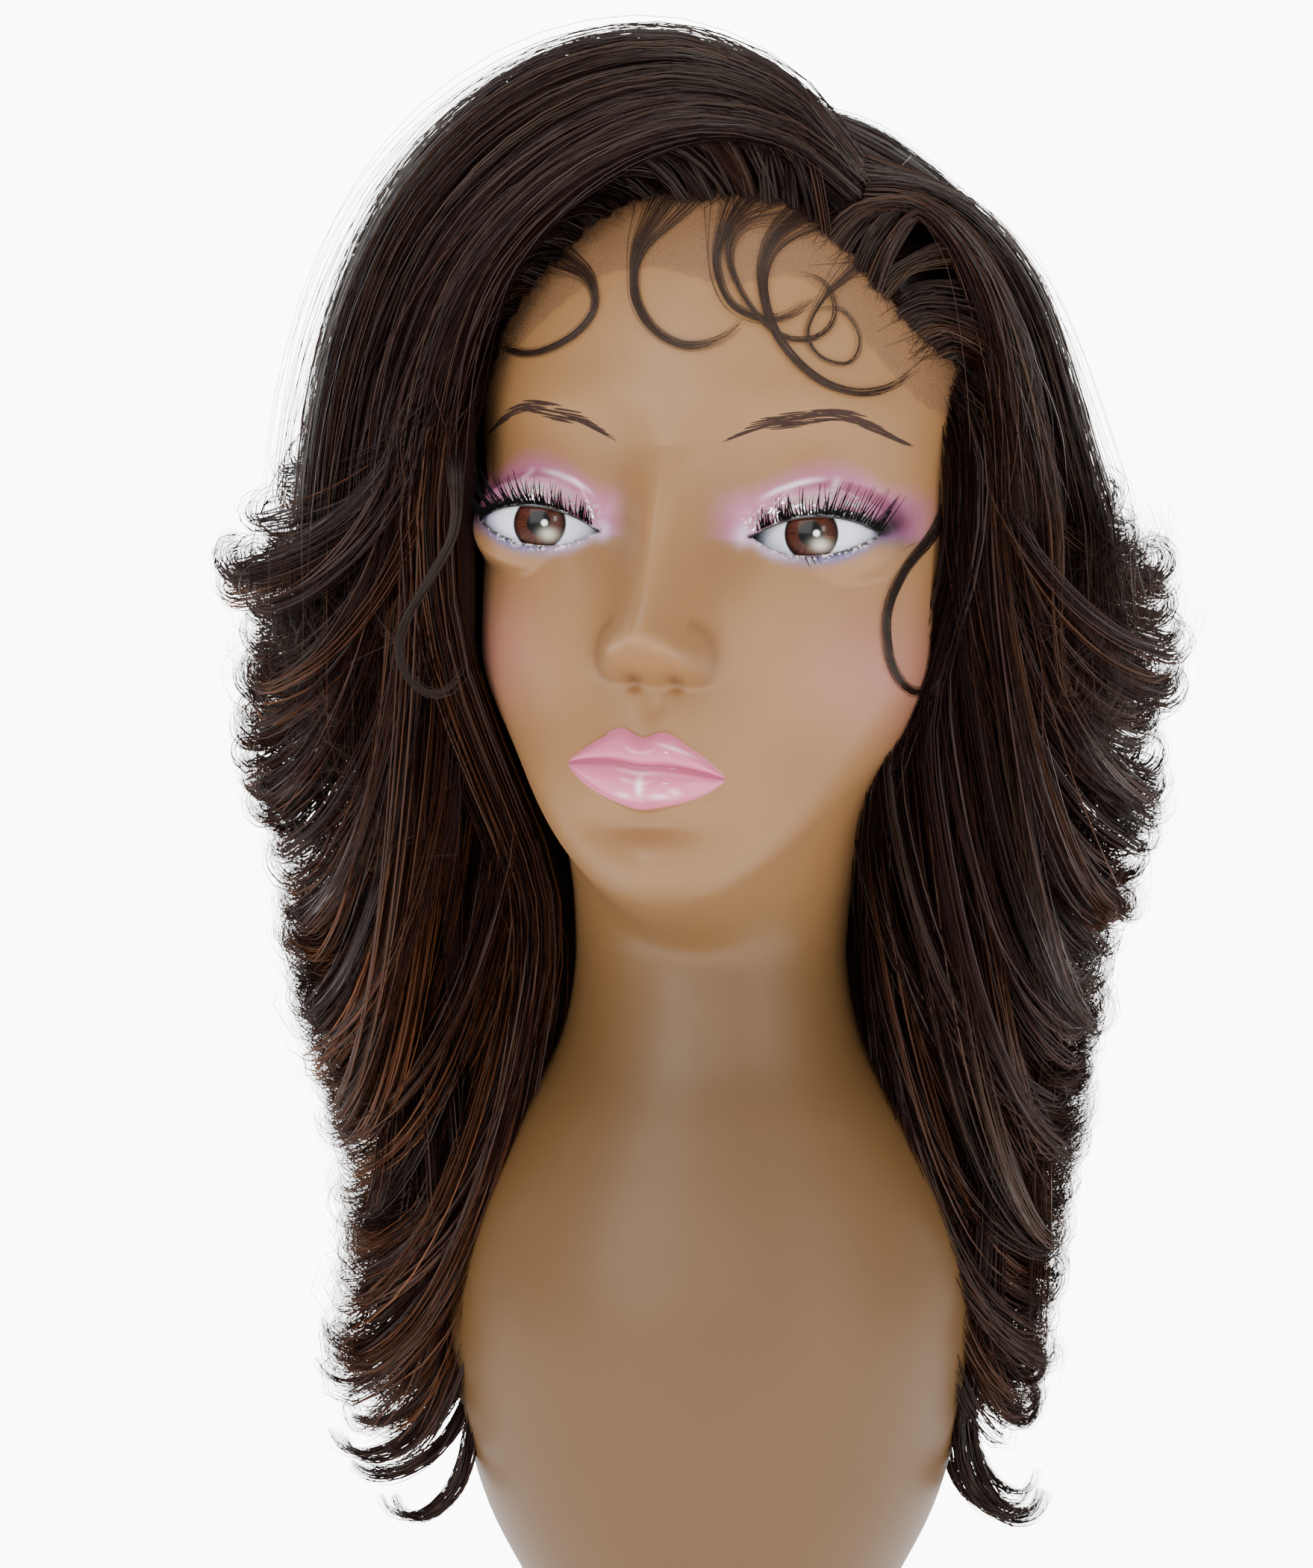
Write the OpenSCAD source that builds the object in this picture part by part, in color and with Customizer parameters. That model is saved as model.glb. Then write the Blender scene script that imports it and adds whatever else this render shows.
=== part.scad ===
// Hollow display head and bust with a removable lace-front wig.
// Frame: the resting face is z = 0, +Z is up, the face looks along -Y and the wearer's left is +X.
// The head and bust are one closed skin lofted through a list of ring stations: every ring has a
// front point, a side point and a back point, so the rings lean forward under the chin.

/* [Head] */
// Width of the bald skull
head_w = 150; // [125:1:180]
// Depth of the bald skull, forehead to back
head_d = 180; // [150:1:216]
// Height from under the chin to the crown
head_h = 225; // [190:1:270]
// Turn of the head on the neck, towards the wearer's right
head_turn = 12; // [0:1:14]
// Lean of the head on the neck, towards the wearer's left
head_lean = 3; // [0:0.5:4]
// How far the tip of the nose stands in front of the eye line
nose_out = 31; // [20:1:38]

/* [Neck and bust] */
// Width of the neck
neck_w = 80; // [66:1:96]
// Depth of the neck
neck_d = 83; // [70:1:100]
// Height of the underside of the chin above the foot of the shell
chin_z = 212; // [178:1:254]
// Widest width of the bust
bust_w = 154; // [130:1:185]
// Depth of the bust at its widest
bust_d = 115; // [96:1:138]
// Diameter of the foot of the shell
foot_dia = 80; // [68:1:96]

/* [Shell and base] */
// Thickness of the moulded skin
skin = 3; // [2:0.5:4]
// Angle from the front at which the two half shells meet
seam_angle = 100; // [92:1:108]
// Width of the bonded strip behind the seam, as an angle
strip_angle = 8; // [5:1:12]
// Thickness of the bonded strip
strip_wall = 1.5; // [1:0.5:3]
// Thickness of the foam pad
pad_t = 2; // [1:0.5:4]
// Thickness of the base plate
plate_t = 6; // [5:1:9]
// Height of the base ring
ring_h = 12; // [10:1:16]
// Radial width of the base ring
ring_w = 13; // [12:1:15]
// Diameter of the base screws
screw_dia = 4; // [3:0.5:5]
// Number of base screws
screws = 4; // [3:1:6]
// Length of the base screws
screw_len = 14; // [11:1:16]
// Free gap round the base plate and the weight
base_gap = 0.2; // [0.1:0.1:0.5]
// Depth of cover left between the weight and the top of the ring
weight_drop = 1; // [0:0.5:3]

/* [Eyes] */
// Radius of the eye's dome
eye_r = 17.5; // [15:0.5:20]
// Distance between the two pupils
eye_span = 76; // [64:1:80]
// Thickness of the inset eye behind its crown
eye_t = 7; // [5:0.5:9]
// Length of the false lashes
lash_len = 7; // [4:1:10]
// Thickness of the lash strip
lash_t = 0.8; // [0.5:0.1:1.5]

/* [Wig] */
// Free gap between the skull and anything of the wig that touches it
fit_gap = 0.6; // [0.5:0.1:0.9]
// Thickness of the front lace
lace_t = 0.4; // [0.3:0.1:0.8]
// Room left for the combs between skull and cap
comb_room = 2.2; // [1.6:0.1:3]
// Thickness of the cap's net
net_t = 0.6; // [0.4:0.1:1]
// Thickness of a sewn weft
weft_t = 1; // [0.6:0.1:1.6]
// Width of a comb
comb_w = 24; // [20:1:28]
// Thickness of a comb
comb_t = 0.8; // [0.6:0.1:1]
// Length of a comb's teeth
tooth_len = 11; // [8:1:14]
// How far the hair stands over the crown
hair_lift = 22; // [16:1:28]
// How far the cap and wig rise clear of the head
lift_travel = 420; // [420:1:500]
// Gap between neighbouring masses of hair
hair_gap = 1; // [0.5:0.5:2]
// Overall length of the side hair below the ear
hair_len = 285; // [235:1:300]

/* [Hidden] */
$fn = 48;
SKIN = [0.70, 0.55, 0.42];
HAIR = [0.20, 0.13, 0.11];
EDGE = [0.32, 0.20, 0.13];
NET = [0.10, 0.08, 0.08];
LACE = [0.62, 0.47, 0.38];

shell_z = pad_t;                 // foot of the shell stands on the pad's top face
head_z = shell_z + chin_z;       // underside of the chin
crown_z = head_z + head_h;
foot_r = foot_dia / 2;
foot_y = 2;                      // the foot sits this far behind the origin

// ---- ring stations -------------------------------------------------------------------------
// [front y, front z, side x, side y, side z, back y, back z]
function bust_z(f) = shell_z + f * chin_z;
function skull_z(f) = head_z + f * head_h;
bw = bust_w / 2;
bd = bust_d / 2;
nw = neck_w / 2;
nd = neck_d / 2;
hw = head_w / 2;
hd = head_d / 2;
STATIONS = [
    [foot_y - foot_r, shell_z, foot_r, foot_y, shell_z, foot_y + foot_r, shell_z],
    [-0.82 * bd, bust_z(0.045), 0.62 * bw, 2, bust_z(0.045), 0.77 * bd, bust_z(0.045)],
    [-0.93 * bd, bust_z(0.105), 0.73 * bw, 2, bust_z(0.105), 0.80 * bd, bust_z(0.105)],
    [-1.05 * bd, bust_z(0.20), 0.86 * bw, 3, bust_z(0.20), 0.84 * bd, bust_z(0.21)],
    [-1.12 * bd, bust_z(0.33), 0.955 * bw, 4, bust_z(0.33), 0.87 * bd, bust_z(0.34)],
    [-1.12 * bd, bust_z(0.46), bw, 5, bust_z(0.47), 0.88 * bd, bust_z(0.48)],
    [-1.01 * bd, bust_z(0.59), 0.92 * bw, 6, bust_z(0.59), 0.87 * bd, bust_z(0.60)],
    [-0.86 * bd, bust_z(0.70), 0.76 * bw, 7, bust_z(0.705), 0.82 * bd, bust_z(0.71)],
    [3 - 1.08 * nd, bust_z(0.79), 1.12 * nw, 8, bust_z(0.815), 3 + 0.99 * nd, bust_z(0.82)],
    [3 - 0.99 * nd, bust_z(0.88), nw, 9, bust_z(0.915), 3 + 0.99 * nd, bust_z(0.935)],
    [3 - 0.96 * nd, bust_z(0.935), 1.01 * nw, 10, skull_z(0.0), 3 + 1.03 * nd, skull_z(0.03)],
    [-0.48 * hd, bust_z(0.963), 0.565 * hw, 10, skull_z(0.062), 0.56 * hd, skull_z(0.11)],
    [-0.61 * hd, bust_z(0.982), 0.61 * hw, 9, skull_z(0.133), 0.65 * hd, skull_z(0.185)],
    [-0.73 * hd, bust_z(0.996), 0.68 * hw, 7, skull_z(0.196), 0.76 * hd, skull_z(0.25)],
    [-0.83 * hd, skull_z(0.014), 0.765 * hw, 5, skull_z(0.25), 0.86 * hd, skull_z(0.303)],
    [-0.885 * hd, skull_z(0.05), 0.81 * hw, 4, skull_z(0.293), 0.925 * hd, skull_z(0.347)],
    [-0.88 * hd, skull_z(0.107), 0.847 * hw, 3, skull_z(0.338), 0.98 * hd, skull_z(0.39)],
    [-0.86 * hd, skull_z(0.17), 0.875 * hw, 3, skull_z(0.387), 1.02 * hd, skull_z(0.44)],
    [-0.855 * hd, skull_z(0.24), 0.91 * hw, 3, skull_z(0.444), 1.065 * hd, skull_z(0.493)],
    [-0.845 * hd, skull_z(0.33), 0.94 * hw, 4, skull_z(0.507), 1.095 * hd, skull_z(0.55)],
    [-0.845 * hd, skull_z(0.418), 0.965 * hw, 6, skull_z(0.573), 1.105 * hd, skull_z(0.604)],
    [-0.865 * hd, skull_z(0.498), 0.985 * hw, 8, skull_z(0.63), 1.11 * hd, skull_z(0.658)],
    [-0.885 * hd, skull_z(0.57), hw, 10, skull_z(0.684), 1.095 * hd, skull_z(0.706)],
    [-0.88 * hd, skull_z(0.642), 0.99 * hw, 12, skull_z(0.733), 1.06 * hd, skull_z(0.755)],
    [-0.845 * hd, skull_z(0.722), 0.945 * hw, 13, skull_z(0.776), hd, skull_z(0.80)],
    [-0.767 * hd, skull_z(0.80), 0.855 * hw, 14, skull_z(0.835), 0.90 * hd, skull_z(0.853)],
    [-0.633 * hd, skull_z(0.877), 0.72 * hw, 15, skull_z(0.891), 0.755 * hd, skull_z(0.902)],
    [-0.444 * hd, skull_z(0.94), 0.545 * hw, 15, skull_z(0.945), 0.556 * hd, skull_z(0.947)],
    [-0.20 * hd, skull_z(0.98), 0.32 * hw, 15, skull_z(0.982), 0.345 * hd, skull_z(0.982)],
    [15, crown_z, 0, 15, crown_z, 15, crown_z]
];
CROWN = len(STATIONS) - 1;

function clamp01(u) = min(max(u, 0), 1);
function ease(u) = let(c = clamp01(u)) c * c * (3 - 2 * c);
function lerp(a, b, u) = a + (b - a) * u;
function bell(u) = exp(-u * u);
function spline(p0, p1, p2, p3, u) =
    p1 + 0.5 * u * (p2 - p0 + u * (2 * p0 - 5 * p1 + 4 * p2 - p3 + u * (3 * (p1 - p2) + p3 - p0)));
function station(t) =
    let(c = min(max(t, 0), CROWN), i = min(floor(c), CROWN - 1), u = c - i)
    spline(STATIONS[max(i - 1, 0)], STATIONS[i], STATIONS[i + 1], STATIONS[min(i + 2, CROWN)], u);

// Relief of the face: how far the skin stands in front of the plain loft at local x, z.
eye_z = skull_z(0.468);
nose_tip_z = skull_z(0.335);
nose_foot_z = skull_z(0.268);
mouth_z = skull_z(0.177);
brow_z = skull_z(0.56);
function nose_line(z) = z > nose_tip_z
    ? nose_out * pow(1 - clamp01((z - nose_tip_z) / (eye_z + 6 - nose_tip_z)), 0.9)
    : nose_out * (1 - ease((nose_tip_z - z) / (nose_tip_z - nose_foot_z)));
function nose_spread(z) = lerp(16, 8, ease((z - nose_foot_z) / (eye_z - nose_foot_z)));
function relief(x, z) =
    nose_line(z) * bell(x / nose_spread(z))
    - 5 * bell((abs(x) - eye_span / 2) / 18) * bell((z - eye_z) / 11)
    + 3 * bell((abs(x) - 26) / 24) * bell((z - brow_z) / 10)
    + 7 * bell(x / 20) * bell((z - mouth_z) / 11)
    + 5 * bell(x / 14) * bell((z - skull_z(0.05)) / 9);

// Ears: a low oval rim on each side, moulded in one with the rear shell.
ear_z = skull_z(0.49);
ear_out = 6;
function ear(a, z) =
    let(v = (z - ear_z) / 28, w = (abs(a) - 104 + 3 * v) / 9, r = sqrt(v * v + w * w))
    ear_out * bell((r - 0.85) / 0.35) * (r < 2 ? 1 : 0);

function plain(t, a) =
    let(s = station(t), c = cos(a), w = c * c, end = c > 0 ? 0 : 5)
    [s[2] * sin(a), s[3] + (s[end] - s[3]) * abs(c), s[4] + (s[end + 1] - s[4]) * w];

// The head is turned and leant about a pivot inside the neck, and the neck takes up the twist.
PIVOT = [0, 8, bust_z(0.96)];
function turned(p, w) =
    let(q = p - PIVOT, r = -head_turn * w, l = head_lean * w,
        x = q[0] * cos(r) - q[1] * sin(r), y = q[0] * sin(r) + q[1] * cos(r))
    PIVOT + [x * cos(l) + q[2] * sin(l), y, -x * sin(l) + q[2] * cos(l)];
function twist(t) = ease((t - 8) / 5);
function base_point(t, a) = turned(plain(t, a), twist(t));
function unit(v) = v / norm(v);
function outward(t, a) =
    let(c = min(t, CROWN - 0.3),
        d = cross(base_point(c, a + 3) - base_point(c, a - 3),
                  base_point(c + 0.15, a) - base_point(c - 0.15, a)))
    t > CROWN - 0.05 ? [sin(head_lean), 0, cos(head_lean)] : unit(d);
function skin_point(t, a) =
    let(p = plain(t, a), f = cos(a) > 0 ? relief(p[0], p[2]) : 0)
    turned(p + [0, -f, 0], twist(t)) + ear(a, p[2]) * outward(t, a);

// A point that stands off from the skin by d. Wig pieces follow the plain loft, without relief.
function shell_at(t, a, d) = skin_point(t, a) + d * outward(t, a);
function over_at(t, a, d) = base_point(t, a) + d * outward(t, a);

// ---- closed patches ------------------------------------------------------------------------
// A grid of rows by columns, given as outer and inner point lists, becomes one closed solid.
// When the last row is the crown, all its points are the same, so it is a single vertex.
module patch_solid(outer, inner, rows, cols, pole = false) {
    per = pole ? rows * (cols + 1) + 1 : (rows + 1) * (cols + 1);
    id = function(r, c) (pole && r == rows) ? rows * (cols + 1) : r * (cols + 1) + c;
    pts_out = [for (r = [0 : pole ? rows - 1 : rows], c = [0 : cols]) outer[r][c]];
    pts_in = [for (r = [0 : pole ? rows - 1 : rows], c = [0 : cols]) inner[r][c]];
    pts = pole ? concat(pts_out, [outer[rows][0]], pts_in, [inner[rows][0]]) : concat(pts_out, pts_in);
    skin_faces = [for (r = [0 : rows - 1], c = [0 : cols - 1])
        each (pole && r == rows - 1)
            ? [[id(r, c), id(rows, 0), id(r, c + 1)],
               [per + id(r, c), per + id(r, c + 1), per + id(rows, 0)]]
            : [[id(r, c), id(r + 1, c), id(r + 1, c + 1)], [id(r, c), id(r + 1, c + 1), id(r, c + 1)],
               [per + id(r, c), per + id(r + 1, c + 1), per + id(r + 1, c)],
               [per + id(r, c), per + id(r, c + 1), per + id(r + 1, c + 1)]]];
    low = [for (c = [0 : cols - 1]) each
        [[id(0, c), id(0, c + 1), per + id(0, c + 1)], [id(0, c), per + id(0, c + 1), per + id(0, c)]]];
    high = pole ? [] : [for (c = [0 : cols - 1]) each
        [[id(rows, c), per + id(rows, c + 1), id(rows, c + 1)],
         [id(rows, c), per + id(rows, c), per + id(rows, c + 1)]]];
    sides = [for (r = [0 : rows - 1]) each
        [[id(r, 0), per + id(r, 0), per + id(r + 1, 0)], [id(r, 0), per + id(r + 1, 0), id(r + 1, 0)],
         [id(r, cols), per + id(r + 1, cols), per + id(r, cols)],
         [id(r, cols), id(r + 1, cols), per + id(r + 1, cols)]]];
    polyhedron(pts, concat(skin_faces, low, high, sides), convexity = 8);
}

// One half of the moulded skin, about the angle mid; the columns crowd together in its middle.
module half_shell(mid, half, cols, rows, crowd) {
    grid = function(d) [for (r = [0 : rows]) [for (c = [0 : cols])
        let(v = 2 * c / cols - 1) shell_at(CROWN * r / rows, mid + half * v * (1 - crowd + crowd * v * v), d)]];
    patch_solid(grid(0), grid(-skin), rows, cols, pole = true);
}

// A layer of the wig over the skull: t0 and t1 give its edges as functions of the angle.
module layer(a0, a1, t0, t1, d0, d1, rows, cols, pole = false) {
    grid = function(d) [for (r = [0 : rows]) [for (c = [0 : cols])
        let(a = lerp(a0, a1, c / cols), t = lerp(t0(a), t1(a), r / rows)) over_at(t, a, d(t, a))]];
    patch_solid(grid(d1), grid(d0), rows, cols, pole);
}
function level(v) = function(a) v;
function evenly(v) = function(t, a) v;

// A lock of hair: level oval rings, each [x, y, z, half width, half depth], from the top down.
lock_sides = 16;
module lock(rings) {
    n = len(rings);
    s = lock_sides;
    pts = [for (r = rings, k = [0 : s - 1])
        [r[0] + r[3] * cos(360 * k / s), r[1] + r[4] * sin(360 * k / s), r[2]]];
    wall = [for (i = [0 : n - 2], k = [0 : s - 1]) let(j = (k + 1) % s) each
        [[i * s + k, (i + 1) * s + j, (i + 1) * s + k], [i * s + k, i * s + j, (i + 1) * s + j]]];
    top = [for (k = [1 : s - 2]) [0, k + 1, k]];
    foot = [for (k = [1 : s - 2]) [(n - 1) * s, (n - 1) * s + k, (n - 1) * s + k + 1]];
    polyhedron(pts, concat(wall, top, foot), convexity = 4);
}

// A thin curl that lies on the skin: a flat ribbon along points of the skull, [t, angle].
module curl(path, width, d0, d1) {
    n = len(path) - 1;
    centre = [for (q = path) base_point(q[0], q[1])];
    normal = [for (q = path) outward(q[0], q[1])];
    across = [for (i = [0 : n]) unit(cross(normal[i], centre[min(i + 1, n)] - centre[max(i - 1, 0)]))];
    grid = function(d) [for (i = [0 : n]) [for (k = [1, -1])
        centre[i] + normal[i] * d + across[i] * k * width / 2]];
    patch_solid(grid(d1), grid(d0), n, 1);
}

// ---- mannequin -----------------------------------------------------------------------------
shell_rows = 46;                 // both halves share their rows, so the seam's edges match
module front_shell() {
    color(SKIN) half_shell(0, seam_angle, 34, shell_rows, 0.45);
}

module rear_shell() {
    color(SKIN) half_shell(180, 180 - seam_angle, 20, shell_rows, 0);
}

// Resin strip bonded behind the seam, from above the base ring to the upper skull.
module seam_strip(side) {
    rows = 34;
    grid = function(d) [for (r = [0 : rows]) [for (c = [0 : 2])
        shell_at(lerp(2, 23, r / rows), side * seam_angle + lerp(-0.5, 0.5, c / 2) * strip_angle, d)]];
    color("tan") patch_solid(grid(-skin), grid(-skin - strip_wall), rows, 2);
}

ring_z = shell_z + plate_t;
ring_out = foot_r + 1;
ring_in = ring_out - ring_w;
screw_pcr = (ring_out + ring_in) / 2 - 1;
module at_screws() {
    for (i = [0 : screws - 1])
        translate([0, foot_y, 0]) rotate(45 + 360 * i / screws) translate([screw_pcr, 0, 0]) children();
}

module base_ring() {
    color("burlywood") difference() {
        translate([0, foot_y, ring_z]) cylinder(r = ring_out, h = ring_h);
        translate([0, foot_y, ring_z - 1]) cylinder(r = ring_in, h = ring_h + 2);
        at_screws() translate([0, 0, ring_z - 1]) cylinder(d = screw_dia - 0.6, h = screw_len - plate_t + 2);
    }
}

module base_plate() {
    color("burlywood") difference() {
        translate([0, foot_y, shell_z]) cylinder(r = foot_r - skin - base_gap, h = plate_t);
        at_screws() {
            translate([0, 0, shell_z - 1]) cylinder(d = screw_dia + 0.4, h = plate_t + 2);
            translate([0, 0, shell_z - 0.01])
                cylinder(r1 = screw_dia + 0.2, r2 = screw_dia / 2 + 0.2, h = screw_dia / 2 + 0.01);
        }
    }
}

module base_screws() {
    color("silver") at_screws() difference() {
        union() {
            translate([0, 0, shell_z]) cylinder(r1 = screw_dia, r2 = screw_dia / 2, h = screw_dia / 2);
            translate([0, 0, shell_z]) cylinder(d = screw_dia, h = screw_len);
        }
        for (turn = [0, 90]) translate([0, 0, shell_z]) rotate(turn)
            cube([screw_dia, 0.8, 2], center = true);
    }
}

module base_weight() {
    color("dimgray") translate([0, foot_y, ring_z])
        cylinder(r = ring_in - base_gap, h = ring_h - weight_drop);
}

module base_pad() {
    color("dimgray") translate([0, foot_y, 0]) cylinder(r = foot_r - 1, h = pad_t);
}

// Each eye is a moulded dome set in from the front; its back is flat.
eye_back = 1.2;                  // the dome's crown stands this far in front of the bare socket
function eye_centre(side) =
    let(x = side * eye_span / 2, a = asin(x / (0.95 * hw)), p = plain(20, a))
    turned([x, p[1] + 3.6 - eye_back + eye_r, eye_z], 1);
module at_eye(side) {
    translate(eye_centre(side)) rotate([0, head_lean, 0]) rotate(-head_turn + side * 9) children();
}
module eye(side) {
    color("white") at_eye(side) intersection() {
        sphere(r = eye_r);
        translate([-eye_r, -eye_r - 1, -eye_r]) cube([2 * eye_r, eye_t + 1, 2 * eye_r]);
    }
}

// False lashes: a curved strip that follows the upper lid and fans forward.
module lash_strip(side) {
    arc = 74;
    color([0.05, 0.05, 0.05]) at_eye(side) translate([0, 0, 6.2]) rotate(-90 - arc / 2)
        rotate_extrude(angle = arc) translate([eye_r - 0.4, 0])
            polygon([[0, 0], [0, lash_t], [lash_len * 0.8, lash_t + lash_len * 0.5],
                     [lash_len * 0.8 + 0.3, lash_len * 0.5]]);
}

// ---- wig -----------------------------------------------------------------------------------
lace_in = fit_gap;
cap_in = fit_gap + comb_room;
cap_out = cap_in + net_t;
hair_in = cap_out + weft_t + 0.4;
half_front = 80;                 // the lace runs from temple to temple
over_ear = 122;                  // behind this angle the cap drops from above the ear to the nape
// Free edge of the lace and cap, as a station number for each angle from the front.
function wig_edge(a) =
    let(b = abs(a > 180 ? a - 360 : a))
    b < half_front ? lerp(24.9, 19.6, ease((b - 15) / 65))
                   : lerp(19.6, 21.5, ease((b - half_front) / 8)) - 6.6 * ease((b - over_ear) / 28);
lace_rows = 2.2;

module lace_front() {
    top = function(a) wig_edge(a) + lace_rows;
    edge = function(a) wig_edge(a);
    color(LACE) layer(-half_front, half_front, edge, top, evenly(lace_in), evenly(lace_in + lace_t), 5, 30);
}

module cap_top() {
    low = function(a) wig_edge(a) + lace_rows + 0.05;
    color(NET) layer(-half_front, half_front, low, level(CROWN), evenly(cap_in), evenly(cap_out), 10, 22,
                     pole = true);
}

module cap_back() {
    low = function(a) wig_edge(a);
    color(NET) layer(half_front, 360 - half_front, low, level(CROWN), evenly(cap_in), evenly(cap_out),
                     12, 22, pole = true);
}

part_a = 36;                     // the parting runs back from the hairline at this angle
module part_lace() {
    color(LACE) layer(part_a - 3, part_a + 5, level(26.4), level(28.2), evenly(cap_out + 0.1),
                      evenly(cap_out + 0.1 + lace_t), 6, 3);
}

module ear_tab(side) {
    color(NET) layer(side * 81 - 3, side * 81 + 3, level(17.9), level(19.4), evenly(ear_out + 1),
                     evenly(ear_out + 1 + net_t), 4, 2);
}

module nape_band() {
    low = function(a) wig_edge(a) - 0.75;
    high = function(a) wig_edge(a) - 0.1;
    color("black") layer(150, 210, low, high, evenly(cap_in), evenly(cap_in + 1), 2, 14);
}

module adjuster_strap(side) {
    a0 = side > 0 ? 126 : 214;
    a1 = side > 0 ? 146 : 234;
    low = function(a) wig_edge(150) - 0.6;
    high = function(a) wig_edge(150) - 0.2;
    color("black") layer(a0, a1, low, high, evenly(cap_in), evenly(cap_in + 0.8), 1, 8);
}

// Axis frame on the skull: +Z is outward, +X runs round the head.
module on_skull(t, a, d) {
    p = over_at(t, a, d);
    z = outward(t, a);
    x = unit(over_at(t, a + 2, d) - over_at(t, a - 2, d));
    xs = unit(x - z * (x * z));
    y = cross(z, xs);
    multmatrix([[xs[0], y[0], z[0], p[0]], [xs[1], y[1], z[1], p[1]], [xs[2], y[2], z[2], p[2]], [0, 0, 0, 1]])
        children();
}

hook_t = 1.6;
module adjuster_hook(side) {
    a = side > 0 ? 136 : 224;
    color("dimgray") on_skull(wig_edge(150) - 0.4, a, cap_in + 0.8 + 0.5) linear_extrude(hook_t)
        difference() {
            square([9, 12], center = true);
            square([5, 7.5], center = true);
        }
}

comb_pitch = 3;
module comb(t, a) {
    teeth = floor((comb_w - 1.4) / comb_pitch);
    color("black") on_skull(t, a, fit_gap + 0.1) linear_extrude(comb_t) {
        translate([-comb_w / 2, 0]) square([comb_w, 3.2]);
        for (i = [0 : teeth]) translate([-comb_w / 2 + i * comb_pitch, -tooth_len]) square([1.4, tooth_len + 1]);
    }
}

module weft_tracks() {
    color(HAIR) for (row = [16.6 : 1.4 : 24])
        let(a = row < 22 ? over_ear + 14 : half_front + 20)
        layer(a, 360 - a, level(row), level(row + 0.35), evenly(cap_out + 0.1), evenly(cap_out + weft_t), 1, 16);
}

// ---- hair ----------------------------------------------------------------------------------
function hairline(a) =
    let(b = abs(a > 180 ? a - 360 : a)) lerp(26, 22.6, ease((b - 20) / 50));
module hair_top_sweep() {
    low = function(a) hairline(a);
    thick = function(t, a) hair_in + 5 + (hair_lift - 5) * ease((t - hairline(a)) / 1.6)
        + 14 * ease((-a - 20) / 60) * (1 - ease((t - 23) / 5))
        - (hair_lift - 12) * ease((a + 5) / 40) * (1 - ease((t - 27) / 2));
    color(HAIR) layer(-98, part_a - 1, low, level(CROWN), evenly(hair_in), thick, 12, 22, pole = true);
}

module hair_part_side() {
    low = function(a) hairline(a);
    thick = function(t, a) hair_in + 4 + 6 * ease((a - part_a) / 30) + (hair_lift - 10) * ease((t - 27) / 2);
    color(HAIR) layer(part_a + 1, 98, low, level(CROWN), evenly(hair_in), thick, 10, 12, pole = true);
}

module hair_crown() {
    low = function(a) 22.6;
    thick = function(t, a) hair_in + 14 + (hair_lift - 14) * ease((t - 25) / 4);
    color(HAIR) layer(99, 261, low, level(CROWN), evenly(hair_in), thick, 10, 24, pole = true);
}

// The long hair hangs outside the vertical path of the skull, so that the wig can lift off.
// A fall is a curved panel between angles a0 and a1 from the front, round an oval that clears
// the turned and leant head; thick(u, a) is its thickness from the top (u = 0) to the tips.
fall_top = skull_z(0.67);
lean_x = (fall_top - PIVOT[2]) * sin(head_lean);
left_clear = max(hw + ear_out + 1.5 - lean_x * 0.8, bw + 2.5);
right_clear = max(hw + ear_out + 1.5 + lean_x, bw + 2.5);
oval_x = (right_clear - left_clear) / 2;
oval_y = PIVOT[1];
oval_w = (right_clear + left_clear) / 2;
oval_d = 1.11 * hd + 2;
function oval(a, z, d) = [oval_x + (oval_w + d) * sin(a), oval_y - (oval_d + d) * cos(a), z];
gap_angle = hair_gap * 0.62;
module fall(a0, a1, len, thick, rows = 12, cols = 6) {
    grid = function(inside) [for (r = [0 : rows]) [for (c = [0 : cols])
        let(u = 1 - r / rows, a = lerp(a0 + gap_angle, a1 - gap_angle, c / cols))
        oval(a, fall_top - len * u, inside ? 0 : thick(u, a))]];
    color(HAIR) patch_solid(grid(false), grid(true), rows, cols);
}
// The outline of the left side is full from the cheek down; the right side is slimmer.
function left_body(u) = 36 + 26 * ease(u / 0.24) - 16 * ease((u - 0.4) / 0.2) - 14 * ease((u - 0.68) / 0.2);
function right_body(u) = 13 + 32 * ease(u / 0.28) - 17 * ease((u - 0.48) / 0.15) - 16 * ease((u - 0.65) / 0.3);
function back_body(u) = 20 + 8 * ease(u / 0.3) - 10 * ease((u - 0.6) / 0.4);
function toward_front(a) = 0.42 + 0.58 * ease((abs(a) - 58) / 28);
function toward_back(a, body, u) = lerp(body, back_body(u), ease((abs(a) - 100) / 45));
module hair_left_front() { fall(-84, -60, hair_len - 18, function(u, a) left_body(u) * toward_front(a)); }
module hair_left_side() { fall(-112, -84, hair_len, function(u, a) toward_back(a, left_body(u), u)); }
module hair_left_back() { fall(-139, -112, hair_len - 6, function(u, a) toward_back(a, left_body(u), u)); }
module hair_right_front() { fall(60, 84, hair_len - 20, function(u, a) right_body(u) * toward_front(a)); }
module hair_right_side() { fall(84, 112, hair_len, function(u, a) toward_back(a, right_body(u), u)); }
module hair_right_back() { fall(112, 139, hair_len - 6, function(u, a) toward_back(a, right_body(u), u)); }
module hair_back_left() { fall(194, 221, hair_len - 14, function(u, a) back_body(u)); }
module hair_back_middle() { fall(166, 194, hair_len - 20, function(u, a) back_body(u)); }
module hair_back_right() { fall(139, 166, hair_len - 14, function(u, a) back_body(u)); }

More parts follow.
